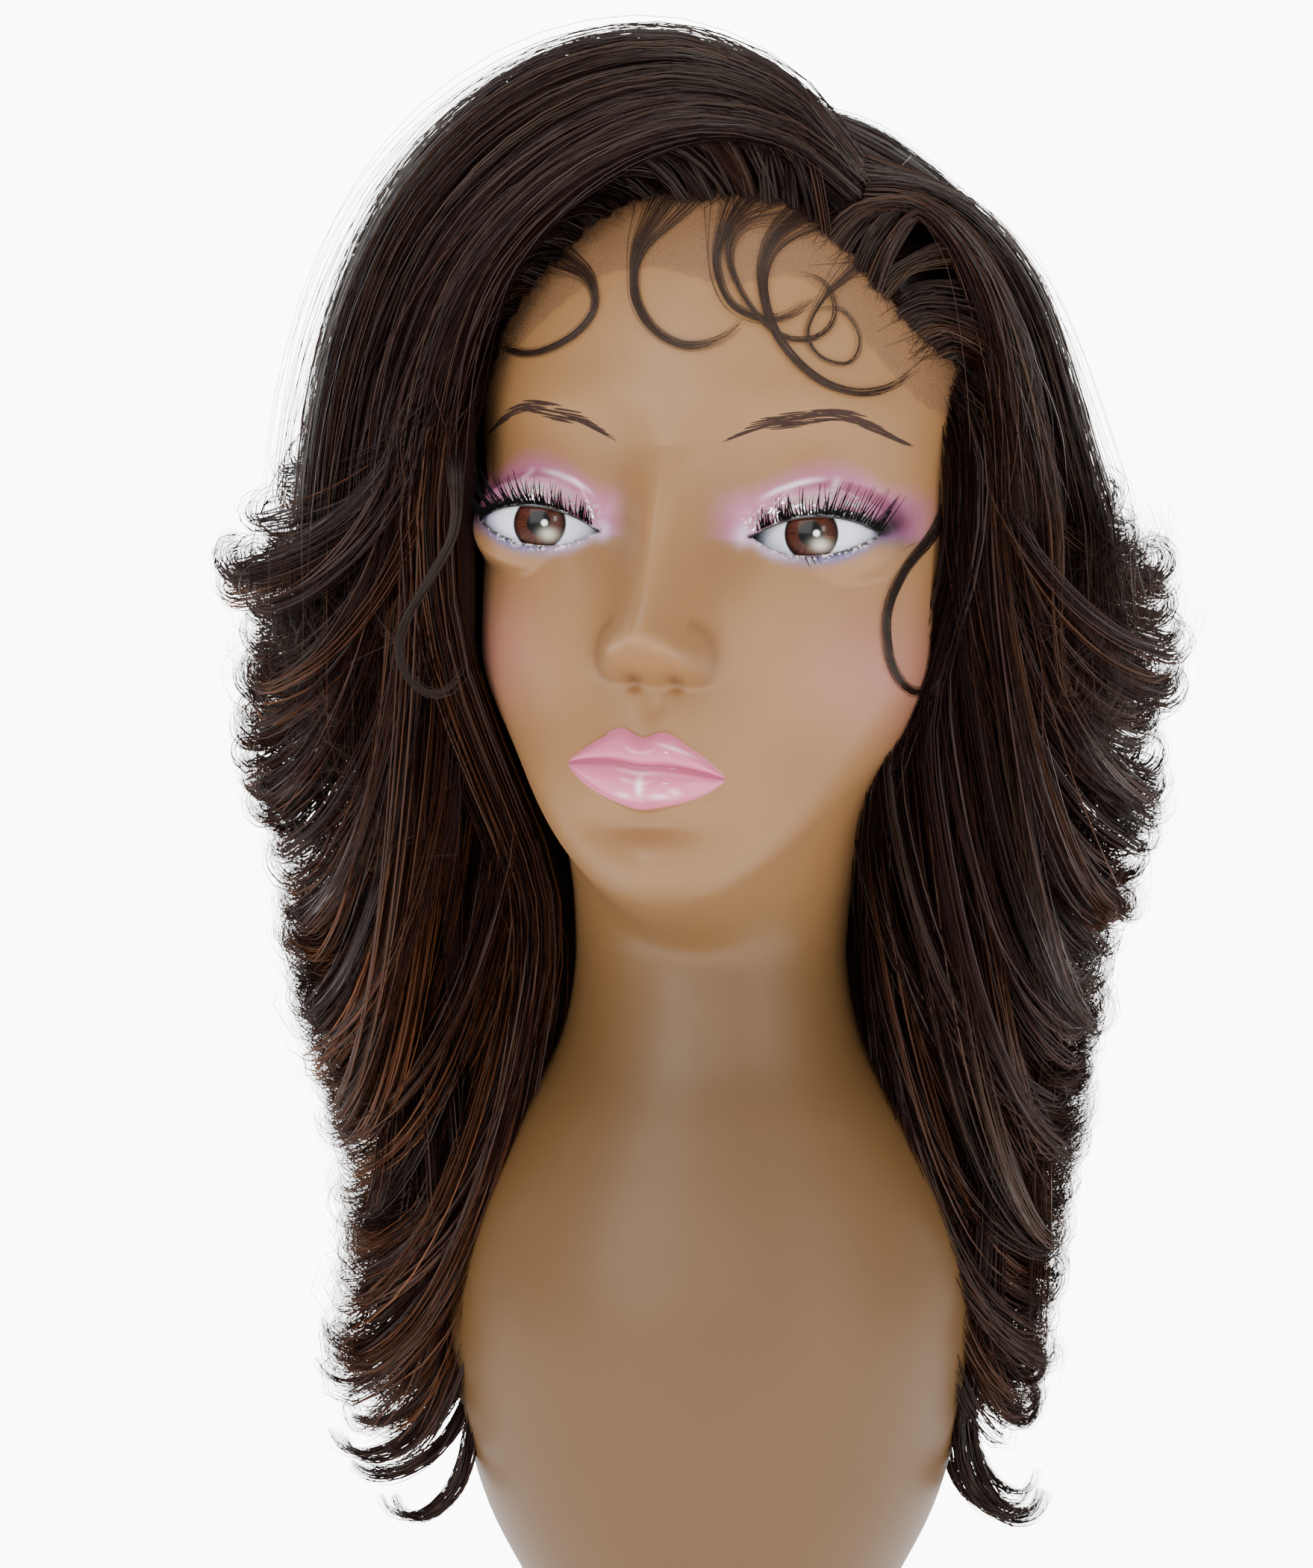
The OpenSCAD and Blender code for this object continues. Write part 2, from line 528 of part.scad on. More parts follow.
// Under-layer beside the neck: it bends round the jaw and shoulder when the wig comes off.
under_top = skull_z(0.30);
under_foot = bust_z(0.575);
function neck_clear(z) =
    nw + 10 + (bw - nw - 7) * ease((bust_z(0.80) - z) / (bust_z(0.80) - bust_z(0.54)))
    + (hw * 0.86 - nw) * ease((z - bust_z(0.955)) / (under_top - bust_z(0.955)));
module under_lock(side) {
    rows = 10;
    cols = 6;
    a0 = side > 0 ? 80 : -122;
    outer = side > 0 ? right_clear - 1.5 : left_clear - 1.5;
    grid = function(inside) [for (r = [0 : rows]) [for (c = [0 : cols])
        let(z = lerp(under_foot, under_top, r / rows), a = a0 + 42 * c / cols,
            reach = inside ? min(neck_clear(z), outer - 1) : outer)
        [reach * sin(a), oval_y - reach * cos(a), z]]];
    color(EDGE) patch_solid(grid(false), grid(true), rows, cols);
}

// Loose curls at the tips, beside the bust: each leaves the fall, drops and turns outward.
module tips(side, x, out) {
    z = fall_top - hair_len - 1;
    color(EDGE) lock([for (i = [0 : 6]) let(u = i / 6)
        [side * (x + out * ease(u)), -4 - 10 * u, z - 36 * u, 10 - 4 * u, 18 - 8 * u]]);
}

// Baby hair pressed on the forehead below the hairline, and the tendrils before the ears.
module baby_hair() {
    color(HAIR) for (a = [-33, -9, 8, 23])
        curl([for (i = [0 : 10]) let(u = 190 * i / 10) [lerp(25.6, 22.8, (1 - cos(u)) / 2), a - 9 * sin(u)]],
            1.6, lace_in + lace_t + 0.2, lace_in + lace_t + 0.9);
}
module tendril(side) {
    color(HAIR) curl([for (i = [0 : 8]) let(u = i / 8) [lerp(15.6, 18.6, u), side * (70 - 9 * sin(180 * u))]],
        3, 1.2, 2.4);
}

front_shell();
rear_shell();
seam_strip(-1);  // seam_strip_left
seam_strip(1);  // seam_strip_right
base_ring();
base_plate();
base_screws();
base_weight();
base_pad();
eye(-1);  // eye_left
eye(1);  // eye_right
lash_strip(-1);  // lash_strip_left
lash_strip(1);  // lash_strip_right
lace_front();
cap_top();
cap_back();
part_lace();
ear_tab(-1);  // ear_tab_left
ear_tab(1);  // ear_tab_right
nape_band();
adjuster_strap(-1);  // adjuster_strap_left
adjuster_strap(1);  // adjuster_strap_right
adjuster_hook(-1);  // adjuster_hook_left
adjuster_hook(1);  // adjuster_hook_right
comb(24.4, -58);  // comb_left
comb(24.4, 58);  // comb_right
comb(16.4, 180);  // comb_nape
weft_tracks();
hair_top_sweep();
hair_part_side();
hair_crown();
hair_left_front();
hair_left_side();
hair_left_back();
hair_right_front();
hair_right_side();
hair_right_back();
hair_back_left();
hair_back_middle();
hair_back_right();
under_lock(-1);  // hair_under_left
under_lock(1);  // hair_under_right
tips(-1, left_clear + 14, 16);  // hair_tips_left
tips(1, right_clear + 8, -2);  // hair_tips_right
baby_hair();
tendril(-1);  // tendril_left
tendril(1);  // tendril_right
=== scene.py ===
# Display head and bust with a lace-front wig. The mannequin is built first, foot to lashes, then the
# wig over it, cap to curls. Lengths are worked out in millimetres and every mesh is made in metres.
import math

import bpy
import numpy as np
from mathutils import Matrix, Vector
from mathutils.bvhtree import BVHTree


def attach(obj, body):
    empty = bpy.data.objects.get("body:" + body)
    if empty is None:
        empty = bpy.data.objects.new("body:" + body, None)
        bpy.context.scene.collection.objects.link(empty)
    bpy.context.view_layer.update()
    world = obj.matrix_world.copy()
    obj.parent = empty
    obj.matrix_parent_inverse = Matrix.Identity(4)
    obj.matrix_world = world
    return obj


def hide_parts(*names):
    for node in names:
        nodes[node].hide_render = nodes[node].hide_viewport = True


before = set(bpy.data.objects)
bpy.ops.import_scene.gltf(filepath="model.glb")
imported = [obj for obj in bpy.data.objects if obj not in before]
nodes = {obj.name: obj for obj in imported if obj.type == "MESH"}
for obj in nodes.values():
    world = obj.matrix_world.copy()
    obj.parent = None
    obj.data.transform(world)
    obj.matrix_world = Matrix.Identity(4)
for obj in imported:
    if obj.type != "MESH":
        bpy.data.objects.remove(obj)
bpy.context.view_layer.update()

# ---- Studio ---------------------------------------------------------------------------------
# A pale seamless sweep, a wide soft key from the front left, a fill, and a strip behind each
# shoulder. The camera stands level with the mouth, a little to the mannequin's right.
MM = 0.001
camera_data = bpy.data.cameras.new("studio_camera")
camera = bpy.data.objects.new("studio_camera", camera_data)
bpy.context.scene.collection.objects.link(camera)
camera_data.sensor_width = 36
camera_data.lens = 90.7
camera.location = (-0.016, -1.15, 0.25)
camera.rotation_euler = (math.radians(90), 0, 0)
bpy.context.scene.camera = camera

sweep_depth, sweep_rise = 1.6, 2.4
sweep_points = [(-2.4, 0.0)] + [
    (sweep_depth + 0.8 * math.sin(a), 0.8 - 0.8 * math.cos(a)) for a in np.linspace(0, math.pi / 2, 14)
] + [(sweep_depth + 0.8, sweep_rise)]
sweep_mesh = bpy.data.meshes.new("sweep")
sweep_mesh.from_pydata(
    [(x, y, z) for y, z in sweep_points for x in (-3, 3)], [],
    [(2 * i, 2 * i + 1, 2 * i + 3, 2 * i + 2) for i in range(len(sweep_points) - 1)],
)
sweep = bpy.data.objects.new("sweep", sweep_mesh)
bpy.context.scene.collection.objects.link(sweep)
for face in sweep_mesh.polygons:
    face.use_smooth = True


def fill_inputs(node, inputs):
    """Sets a node's inputs by name, with an underscore for each space."""
    for key, value in inputs.items():
        node.inputs[key.replace("_", " ")].default_value = value
    return node


def new_material(name, **inputs):
    """A node material: the material, its node tree and its shader."""
    made = bpy.data.materials.new(name)
    made.use_nodes = True
    return made, made.node_tree, fill_inputs(made.node_tree.nodes["Principled BSDF"], inputs)


def add_node(tree, kind, **inputs):
    return fill_inputs(tree.nodes.new("ShaderNode" + kind), inputs)


# The paper glows brighter to the camera than it does to the object.
paper, tree, shader = new_material("white_paper", Base_Color=(0.93, 0.93, 0.93, 1), Roughness=0.9,
    Emission_Color=(1, 1, 1, 1))
rays = add_node(tree, "LightPath")
glow = add_node(tree, "MapRange", To_Min=1.3, To_Max=9.0)
tree.links.new(rays.outputs["Is Camera Ray"], glow.inputs["Value"])
tree.links.new(glow.outputs["Result"], shader.inputs["Emission Strength"])
sweep_mesh.materials.append(paper)


def softbox(name, place, aim, width, height, watts):
    """A rectangular soft light that faces a point of the object."""
    data = bpy.data.lights.new(name, "AREA")
    data.shape, data.size, data.size_y, data.energy = "RECTANGLE", width, height, watts
    lamp = bpy.data.objects.new(name, data)
    lamp.location = place
    lamp.rotation_euler = (Vector(aim) - Vector(place)).to_track_quat("-Z", "Y").to_euler()
    bpy.context.scene.collection.objects.link(lamp)


softbox("key_light", (-0.9, -1.5, 1.0), (0, 0, 0.3), 0.9, 1.1, 26)
softbox("fill_light", (1.2, -1.3, 0.6), (0, 0, 0.28), 0.9, 1.2, 12)
softbox("catch_light", (0.10, -1.25, 0.60), (0, 0, 0.3), 0.12, 0.20, 3.0)
softbox("top_light", (0.1, -0.1, 1.7), (0, 0, 0.4), 1.0, 1.0, 12)
softbox("rim_left", (-1.1, 0.9, 0.8), (0, 0, 0.35), 0.5, 1.2, 12)
softbox("rim_right", (1.1, 0.9, 0.8), (0, 0, 0.35), 0.5, 1.2, 12)
world = bpy.data.worlds.new("studio_air")
world.use_nodes = True
world.node_tree.nodes["Background"].inputs["Color"].default_value = (1, 1, 1, 1)
world.node_tree.nodes["Background"].inputs["Strength"].default_value = 0.62
bpy.context.scene.world = world

# ---- Moulded shell --------------------------------------------------------------------------
# The front and rear halves of the bust and head are one lofted form, moulded in plastic and
# painted. Rings run from the foot to the crown; each has a front, a side and a back point.
SHELL_FOOT, CHIN_DROP, SKULL_RISE = 2.0, 212.0, 225.0
HEAD_W, HEAD_D, NECK_W, NECK_D, BUST_W, BUST_D, FOOT_D = 150.0, 180.0, 80.0, 83.0, 154.0, 115.0, 80.0
HEAD_TURN, HEAD_LEAN = math.radians(12), math.radians(3)
WALL = 3.0


def bust_z(f):
    return SHELL_FOOT + f * CHIN_DROP


def skull_z(f):
    return SHELL_FOOT + CHIN_DROP + f * SKULL_RISE


bw, bd, nw, nd, hw, hd, foot = (v / 2 for v in (BUST_W, BUST_D, NECK_W, NECK_D, HEAD_W, HEAD_D, FOOT_D))
RINGS = np.array([
    (2 - foot, SHELL_FOOT, foot, 2, SHELL_FOOT, 2 + foot, SHELL_FOOT),
    (-0.82 * bd, bust_z(0.045), 0.62 * bw, 2, bust_z(0.045), 0.77 * bd, bust_z(0.045)),
    (-0.93 * bd, bust_z(0.105), 0.73 * bw, 2, bust_z(0.105), 0.80 * bd, bust_z(0.105)),
    (-1.05 * bd, bust_z(0.20), 0.86 * bw, 3, bust_z(0.20), 0.84 * bd, bust_z(0.21)),
    (-1.12 * bd, bust_z(0.33), 0.955 * bw, 4, bust_z(0.33), 0.87 * bd, bust_z(0.34)),
    (-1.12 * bd, bust_z(0.46), bw, 5, bust_z(0.47), 0.88 * bd, bust_z(0.48)),
    (-1.01 * bd, bust_z(0.59), 0.92 * bw, 6, bust_z(0.59), 0.87 * bd, bust_z(0.60)),
    (-0.86 * bd, bust_z(0.70), 0.76 * bw, 7, bust_z(0.705), 0.82 * bd, bust_z(0.71)),
    (3 - 1.08 * nd, bust_z(0.79), 1.12 * nw, 8, bust_z(0.815), 3 + 0.99 * nd, bust_z(0.82)),
    (3 - 0.99 * nd, bust_z(0.88), nw, 9, bust_z(0.915), 3 + 0.99 * nd, bust_z(0.935)),
    (3 - 0.96 * nd, bust_z(0.935), 1.01 * nw, 10, skull_z(0.0), 3 + 1.03 * nd, skull_z(0.03)),
    (-0.48 * hd, bust_z(0.963), 0.565 * hw, 10, skull_z(0.062), 0.56 * hd, skull_z(0.11)),
    (-0.61 * hd, bust_z(0.982), 0.61 * hw, 9, skull_z(0.133), 0.65 * hd, skull_z(0.185)),
    (-0.73 * hd, bust_z(0.996), 0.68 * hw, 7, skull_z(0.196), 0.76 * hd, skull_z(0.25)),
    (-0.83 * hd, skull_z(0.014), 0.765 * hw, 5, skull_z(0.25), 0.86 * hd, skull_z(0.303)),
    (-0.885 * hd, skull_z(0.05), 0.81 * hw, 4, skull_z(0.293), 0.925 * hd, skull_z(0.347)),
    (-0.88 * hd, skull_z(0.107), 0.847 * hw, 3, skull_z(0.338), 0.98 * hd, skull_z(0.39)),
    (-0.86 * hd, skull_z(0.17), 0.875 * hw, 3, skull_z(0.387), 1.02 * hd, skull_z(0.44)),
    (-0.855 * hd, skull_z(0.24), 0.91 * hw, 3, skull_z(0.444), 1.065 * hd, skull_z(0.493)),
    (-0.845 * hd, skull_z(0.33), 0.94 * hw, 4, skull_z(0.507), 1.095 * hd, skull_z(0.55)),
    (-0.845 * hd, skull_z(0.418), 0.965 * hw, 6, skull_z(0.573), 1.105 * hd, skull_z(0.604)),
    (-0.865 * hd, skull_z(0.498), 0.985 * hw, 8, skull_z(0.63), 1.11 * hd, skull_z(0.658)),
    (-0.885 * hd, skull_z(0.57), hw, 10, skull_z(0.684), 1.095 * hd, skull_z(0.706)),
    (-0.88 * hd, skull_z(0.642), 0.99 * hw, 12, skull_z(0.733), 1.06 * hd, skull_z(0.755)),
    (-0.845 * hd, skull_z(0.722), 0.945 * hw, 13, skull_z(0.776), hd, skull_z(0.80)),
    (-0.767 * hd, skull_z(0.80), 0.855 * hw, 14, skull_z(0.835), 0.90 * hd, skull_z(0.853)),
    (-0.633 * hd, skull_z(0.877), 0.72 * hw, 15, skull_z(0.891), 0.755 * hd, skull_z(0.902)),
    (-0.444 * hd, skull_z(0.94), 0.545 * hw, 15, skull_z(0.945), 0.556 * hd, skull_z(0.947)),
    (-0.20 * hd, skull_z(0.98), 0.32 * hw, 15, skull_z(0.982), 0.345 * hd, skull_z(0.982)),
    (15, skull_z(1), 0, 15, skull_z(1), 15, skull_z(1)),
])
CROWN = len(RINGS) - 1
PIVOT = np.array([0.0, 8.0, bust_z(0.96)])


def ease(u):
    u = np.clip(u, 0, 1)
    return u * u * (3 - 2 * u)


def bell(u):
    return np.exp(-u * u)


def ring(t):
    """The loft's seven ring values at any height t, smooth through the rings."""
    t = np.clip(np.asarray(t, float), 0, CROWN)
    i = np.minimum(t.astype(int), CROWN - 1)
    u = (t - i)[..., None]
    p0, p1, p2, p3 = RINGS[np.maximum(i - 1, 0)], RINGS[i], RINGS[i + 1], RINGS[np.minimum(i + 2, CROWN)]
    return p1 + 0.5 * u * (p2 - p0 + u * (2 * p0 - 5 * p1 + 4 * p2 - p3 + u * (3 * (p1 - p2) + p3 - p0)))


def plain(t, a):
    """The loft before the head is turned: ring t, angle a from the front, +X at +90 degrees."""
    s, c = ring(t), np.cos(a)
    ahead = c > 0
    y = np.where(ahead, s[..., 0], s[..., 5])
    z = np.where(ahead, s[..., 1], s[..., 6])
    return np.stack([s[..., 2] * np.sin(a), s[..., 3] + (y - s[..., 3]) * abs(c),
                     s[..., 4] + (z - s[..., 4]) * c * c], -1)


def turned(p, w=1.0):
    """Turns and leans points of the head about the pivot in the neck, by the share w."""
    q = p - PIVOT
    r, l = -HEAD_TURN * w, HEAD_LEAN * w
    x = q[..., 0] * np.cos(r) - q[..., 1] * np.sin(r)
    y = q[..., 0] * np.sin(r) + q[..., 1] * np.cos(r)
    return PIVOT + np.stack([x * np.cos(l) + q[..., 2] * np.sin(l), y,
                             -x * np.sin(l) + q[..., 2] * np.cos(l)], -1)


def twist(t):
    return ease((t - 8) / 5)


def on_loft(t, a, d=0.0):
    """A point that stands d off the plain loft, turned with the head."""
    t, a = np.broadcast_arrays(np.asarray(t, float), np.asarray(a, float))
    c = np.minimum(t, CROWN - 0.3)
    du = turned(plain(c, a + 0.05), twist(c)) - turned(plain(c, a - 0.05), twist(c))
    dv = turned(plain(c + 0.15, a), twist(c)) - turned(plain(c - 0.15, a), twist(c))
    n = np.cross(du, dv)
    n /= np.linalg.norm(n, axis=-1, keepdims=True) + 1e-12
    return turned(plain(t, a), twist(t)) + n * np.asarray(d, float)[..., None]


# The face: a height over the loft, in the head's own x and z.
EYE_X, EYE_Y, EYE_Z, EYE_R, EYE_HALF, EYE_SHIFT = 38.3, -40.5, 320.0, 24.0, 17.0, 2.3
LID = 0.9
MOUTH_X, MOUTH_Z, MOUTH_HALF, MOUTH_TILT = -4.0, 254.0, 22.5, -0.055
NOSE_X, NOSE_TIP, NOSE_FOOT = -2.2, 289.0, 274.5


def eye_side(x):
    """Distance from the line midway between the eyes."""
    return abs(x + EYE_SHIFT)


def upper_lid(x):
    u = (eye_side(x) - EYE_X) / EYE_HALF
    return EYE_Z - 0.6 + 1.3 * u + 4.7 * np.clip(1 - abs(u - 0.05) ** 2.2, 0, 1)


def lower_lid(x):
    u = (eye_side(x) - EYE_X) / EYE_HALF
    return EYE_Z - 0.8 + 1.3 * u - 5.6 * np.clip(1 - abs(u - 0.05) ** 2.2, 0, 1)


def mouth_u(x):
    return (x - MOUTH_X) / MOUTH_HALF


def lip_line(x):
    u = mouth_u(x)
    return MOUTH_Z + MOUTH_TILT * (x - MOUTH_X) + 0.5 - 1.0 * bell(u / 0.25) - 2.0 * u * u


def lip_top(x):
    u = abs(mouth_u(x))
    arch = np.clip(1 - u ** 1.45, 0, 1) ** 0.85 * 9.6
    return lip_line(x) + arch + 1.0 * bell((u - 0.3) / 0.18) - 1.9 * bell(u / 0.16)


def lip_foot(x):
    u = abs(mouth_u(x))
    return lip_line(x) - np.clip(1 - u ** 2.1, 0, 1) ** 0.85 * 11.4


# Rises and hollows: height, what the side distance is measured from, the centre and half width
# along it, and the level and half height in z.
FORMS = (
    (-3.0, "nose", 5.8, 2.5, 277.2, 2.0),  # nostrils
    (4.0, "middle", 0, 15, 330, 16),  # root of the nose
    (-9.5, "eye", 33, 19, 331, 15),  # eye sockets
    (-6.5, "eye", 20, 8, 318, 13),  # inner corners
    (4.0, "both", 60, 11, 324, 18),  # temples
    (3.0, "both", 30, 20, 353, 9),  # brows
    (3.5, "both", 40, 18, 288, 18),  # cheeks
    (-2.0, "both", 46, 12, 262, 16),  # hollows of the cheeks
    (6.0, "middle", MOUTH_X, 25, 256, 17),  # muzzle
    (-1.2, "middle", -2, 3.2, 270, 5),  # groove over the lip
    (5.5, "middle", 0, 15, 226, 12),  # chin
    (-3.0, "middle", MOUTH_X * 0.6, 15, 238, 4.2),  # crease over the chin
)


def face_height(x, y, z):
    """How far the skin stands in front of the plain loft point x, y, z."""
    b, e, n = abs(x), eye_side(x), abs(x - NOSE_X)
    rise = np.where(z > NOSE_TIP, np.clip(1 - (z - NOSE_TIP) / 52, 0, 1) ** 1.15,
                    1 - ease((NOSE_TIP - z) / (NOSE_TIP - NOSE_FOOT)) ** 1.5)
    width = 8.6 + 3.0 * ease((318 - z) / 28)
    h = 29.5 * rise * np.exp(-(n / width) ** 2.0)
    h += 2.5 * bell(n / 7.5) * bell((z - NOSE_TIP) / 6.5)
    h += 10.0 * bell((n - 10.0) / 4.9) * bell((z - 283) / 6.8) * (1 - ease((280.5 - z) / 6))
    side = {"middle": x, "both": b, "eye": e, "nose": n}
    for height, start, centre, half_width, level, half_height in FORMS:
        h += height * bell((side[start] - centre) / half_width) * bell((z - level) / half_height)
    # Lips: two rounded rolls with a groove between them.
    u = mouth_u(x)
    inside = np.clip(1 - abs(u) ** 2.4, 0, 1)
    top, line, foot_ = lip_top(x), lip_line(x), lip_foot(x)
    up = np.clip((z - line) / np.maximum(top - line, 0.3), 0, 1.4)
    down = np.clip((line - z) / np.maximum(line - foot_, 0.3), 0, 1.4)
    roll = np.where(z > line, np.clip(1 - (up - 0.42) ** 2 / 0.38, 0, 1),
        np.clip(1 - (down - 0.5) ** 2 / 0.34, 0, 1))
    h += inside ** 0.7 * roll * np.where(z > line, 3.4, 5.0)
    h -= inside ** 0.5 * 1.3 * bell((z - line) / 0.8)
    # Lids: the skin rides over the eye's dome and blends into the socket.
    reach = (EYE_R + LID) ** 2 - (e - EYE_X) ** 2 - (z - EYE_Z) ** 2
    dome = EYE_Y - np.sqrt(np.maximum(reach, 1.0))
    bare = y - h
    k = 1.6
    near = np.clip(0.5 + 0.5 * (bare - dome) / k, 0, 1)
    joined = bare + (dome - bare) * near - k * near * (1 - near)
    held = 1 - ease((np.hypot((e - EYE_X) / 20.5, (z - EYE_Z) / 12.5) - 1) / 0.3)
    return np.where(reach > 30, h + (y - joined - h) * held, h)


def ear_height(a, z):
    """The ear's rolled rim, its hollow and its lobe, off the side of the skull."""
    v = (z - skull_z(0.49)) / 28
    w = (np.degrees(abs(a)) - 104 + 3 * v) / 9
    r = np.sqrt(v * v + w * w)
    return 6.0 * bell((r - 0.85) / 0.30) + 2.2 * bell((r - 0.35) / 0.16) * (v > -0.6) + 2.5 * bell(r / 1.3)


def quad_mesh(name, points, quads, smooth=True):
    """A mesh object from an array of points in millimetres and an array of quads."""
    mesh = bpy.data.meshes.new(name)
    mesh.vertices.add(len(points))
    mesh.vertices.foreach_set("co", np.ascontiguousarray(points * MM, np.float32).ravel())
    mesh.loops.add(quads.size)
    mesh.loops.foreach_set("vertex_index", np.ascontiguousarray(quads, np.int32).ravel())
    mesh.polygons.add(len(quads))
    mesh.polygons.foreach_set("loop_start", np.arange(0, quads.size, quads.shape[1], dtype=np.int32))
    mesh.polygons.foreach_set("loop_total", np.full(len(quads), quads.shape[1], np.int32))
    mesh.polygons.foreach_set("use_smooth", np.full(len(quads), smooth))
    mesh.update(calc_edges=True)
    mesh.validate()
    made = bpy.data.objects.new(name, mesh)
    bpy.context.scene.collection.objects.link(made)
    return made


def grid_quads(rows, cols, start=0):
    i, j = np.meshgrid(np.arange(rows - 1), np.arange(cols - 1), indexing="ij")
    k = (start + i * cols + j).ravel()
    return np.stack([k, k + 1, k + cols + 1, k + cols], 1)


def spans(*parts):
    """Sample values: each part is (from, to, count), joined end to end."""
    return np.concatenate([np.linspace(a, b, n, endpoint=False) for a, b, n in parts] + [[parts[-1][1]]])


def paint(mesh_object, name, values):
    attribute = mesh_object.data.attributes.new(name, "FLOAT", "POINT")
    attribute.data.foreach_set("value", np.ascontiguousarray(values, np.float32).ravel())


face_rows = spans((0, 8, 42), (8, 13, 30), (13, 15, 20), (15, 18.3, 96), (18.3, 19.2, 26), (19.2, 22, 112),
                  (22, 24, 18), (24, 27, 16), (27, CROWN, 12))
half = np.radians(spans((0, 13, 26), (13, 56, 84), (56, 100, 18)))
face_cols = np.concatenate([-half[:0:-1], half])
T, A = np.meshgrid(face_rows, face_cols, indexing="ij")


def follow_outlines(row_values, cols):
    """Shifts the rows of each column so that whole rows run along the lids and the lip edges."""
    fine = np.linspace(13, 26, 1600)
    row_z = np.interp(row_values, fine, ring(fine)[:, 1])
    out = np.repeat(row_values[:, None], len(cols), 1)
    inside = (row_z > 225) & (row_z < 358) & (row_values > 14) & (row_values < 24)
    for j, a in enumerate(cols):
        if abs(a) > 1.2:
            continue
        column = plain(fine, np.full(fine.shape, a))
        natural = np.interp(row_values, fine, column[:, 2])
        x_lip = np.interp(MOUTH_Z, column[:, 2], column[:, 0])
        x_eye = np.interp(EYE_Z, column[:, 2], column[:, 0])
        lip_hold = 1 - ease((abs(mouth_u(x_lip)) - 1) / 0.35)
        eye_hold = 1 - ease((abs(eye_side(x_eye) - EYE_X) / EYE_HALF - 1) / 0.4)
        keys = [225, 243.0, 254.0, 264, 284, 313.5, 325.5, 357]
        goals = [0, lip_foot(x_lip) - 0.15, lip_line(x_lip), lip_top(x_lip) + 0.15, 0,
                 lower_lid(x_eye) - 0.15, upper_lid(x_eye) + 0.15, 0]
        holds = [0, lip_hold, lip_hold, lip_hold, 0, eye_hold, eye_hold, 0]
        moves = [h * (g - np.interp(k, row_z, natural)) for k, g, h in zip(keys, goals, holds)]
        z = natural + np.interp(row_z, keys, moves)
        out[inside, j] = np.interp(z[inside], column[:, 2], fine)
    return out


T = follow_outlines(face_rows, face_cols)
face_plain = plain(T, A)
face_local = face_plain.copy()
head_front = (np.cos(A) > 0) & (T > 12)
face_local[..., 1] -= np.where(head_front, face_height(*np.moveaxis(face_plain, -1, 0)), 0)
ear = np.where(T > 12, ear_height(A, face_plain[..., 2]), 0)
cheek = 5.0 * bell((abs(A) - math.radians(64)) / 0.36) * bell((face_plain[..., 2] - 284) / 24)
side_push = np.stack([np.sin(A), -np.cos(A), 0 * A], -1) * (ear + cheek)[..., None]
face_world = turned(face_local + side_push, twist(T))


def srgb(r, g, b):
    """A linear colour from eight-bit display values."""
    v = np.array([r, g, b]) / 255
    return np.where(v > 0.04045, ((v + 0.055) / 1.055) ** 2.4, v / 12.92)


def lay(base, colour, amount):
    return base + (np.asarray(colour) - base) * np.clip(amount, 0, 1)[..., None]


# Paint, worked out point by point in the head's own x and z.
X, Z = face_local[..., 0], face_local[..., 2]
B, N = abs(X), abs(X - NOSE_X)
V = (eye_side(X) - EYE_X) / EYE_HALF
over_lid, under_lid = Z - upper_lid(X), lower_lid(X) - Z
shadow_top = 15.5 + 3.0 * bell((V - 0.3) / 0.8)
shadow = (ease((shadow_top - over_lid) / 10) * ease((over_lid + 2) / 2) * ease((1.8 - abs(V - 0.1)) / 0.75)
    * head_front)
below = (under_lid > -3) * head_front * (abs(V) < 1.6)
eyelid = (abs(V) < 1.3) * head_front
band = 1.2 + 2.2 * ease((V + 0.8) / 1.4)
liner = (ease((band - over_lid) / 0.9) * (over_lid > -0.6) * ease((1.30 - V) / 0.25)
    * ease((V + 1.08) / 0.1) * eyelid)
liner = np.maximum(liner, ease((1.2 - under_lid) / 0.6) * (under_lid > -0.6) * ease((V + 0.4) / 0.9)
    * (V < 1.05) * eyelid * 0.85)
liner = np.maximum(liner, ease((0.7 - under_lid) / 0.5) * (under_lid > -0.6) * (abs(V) < 1.02) * eyelid
    * 0.5)
U = mouth_u(X)
in_lips = (Z < lip_top(X) + 0.1) & (Z > lip_foot(X) - 0.1) & (abs(U) < 1) & head_front
crease = np.hypot((N - 10.0) / 5.8, (Z - 283.5) / 8.0)
# Painted highlights: arcs of light along the glossy upper lids, and spots and streaks of light on the lips.
painted_lid_highlight = bell((over_lid - 10.5 - 1.5 * V) / 0.75) * ease((V + 0.95) / 0.4) * ease((0.25 - V) / 0.4)
painted_lid_highlight = painted_lid_highlight + 0.8 * bell((V - 0.32) / 0.07) * bell((over_lid - 9.5) / 1.6)
below_line = lip_line(X) - Z
painted_lip_highlight = bell((U - 0.04) / 0.045) * bell((below_line - 5.4) / 2.4)
for share, centre, half_width, level, half_height in (
    (0.6, -0.16, 0.10, 8.4, 0.7),
    (0.7, 0.28, 0.12, 8.0, 0.7),
    (0.6, 0.46, 0.06, 6.4, 0.8),
    (0.55, 0.02, 0.24, 1.7, 0.5),
):
    painted_lip_highlight += share * bell((U - centre) / half_width) * bell((below_line - level) / half_height)
painted_lip_highlight += 0.6 * bell((U - 0.42) / 0.2) * bell((below_line + 5.2 - 5 * (U - 0.42)) / 0.55)
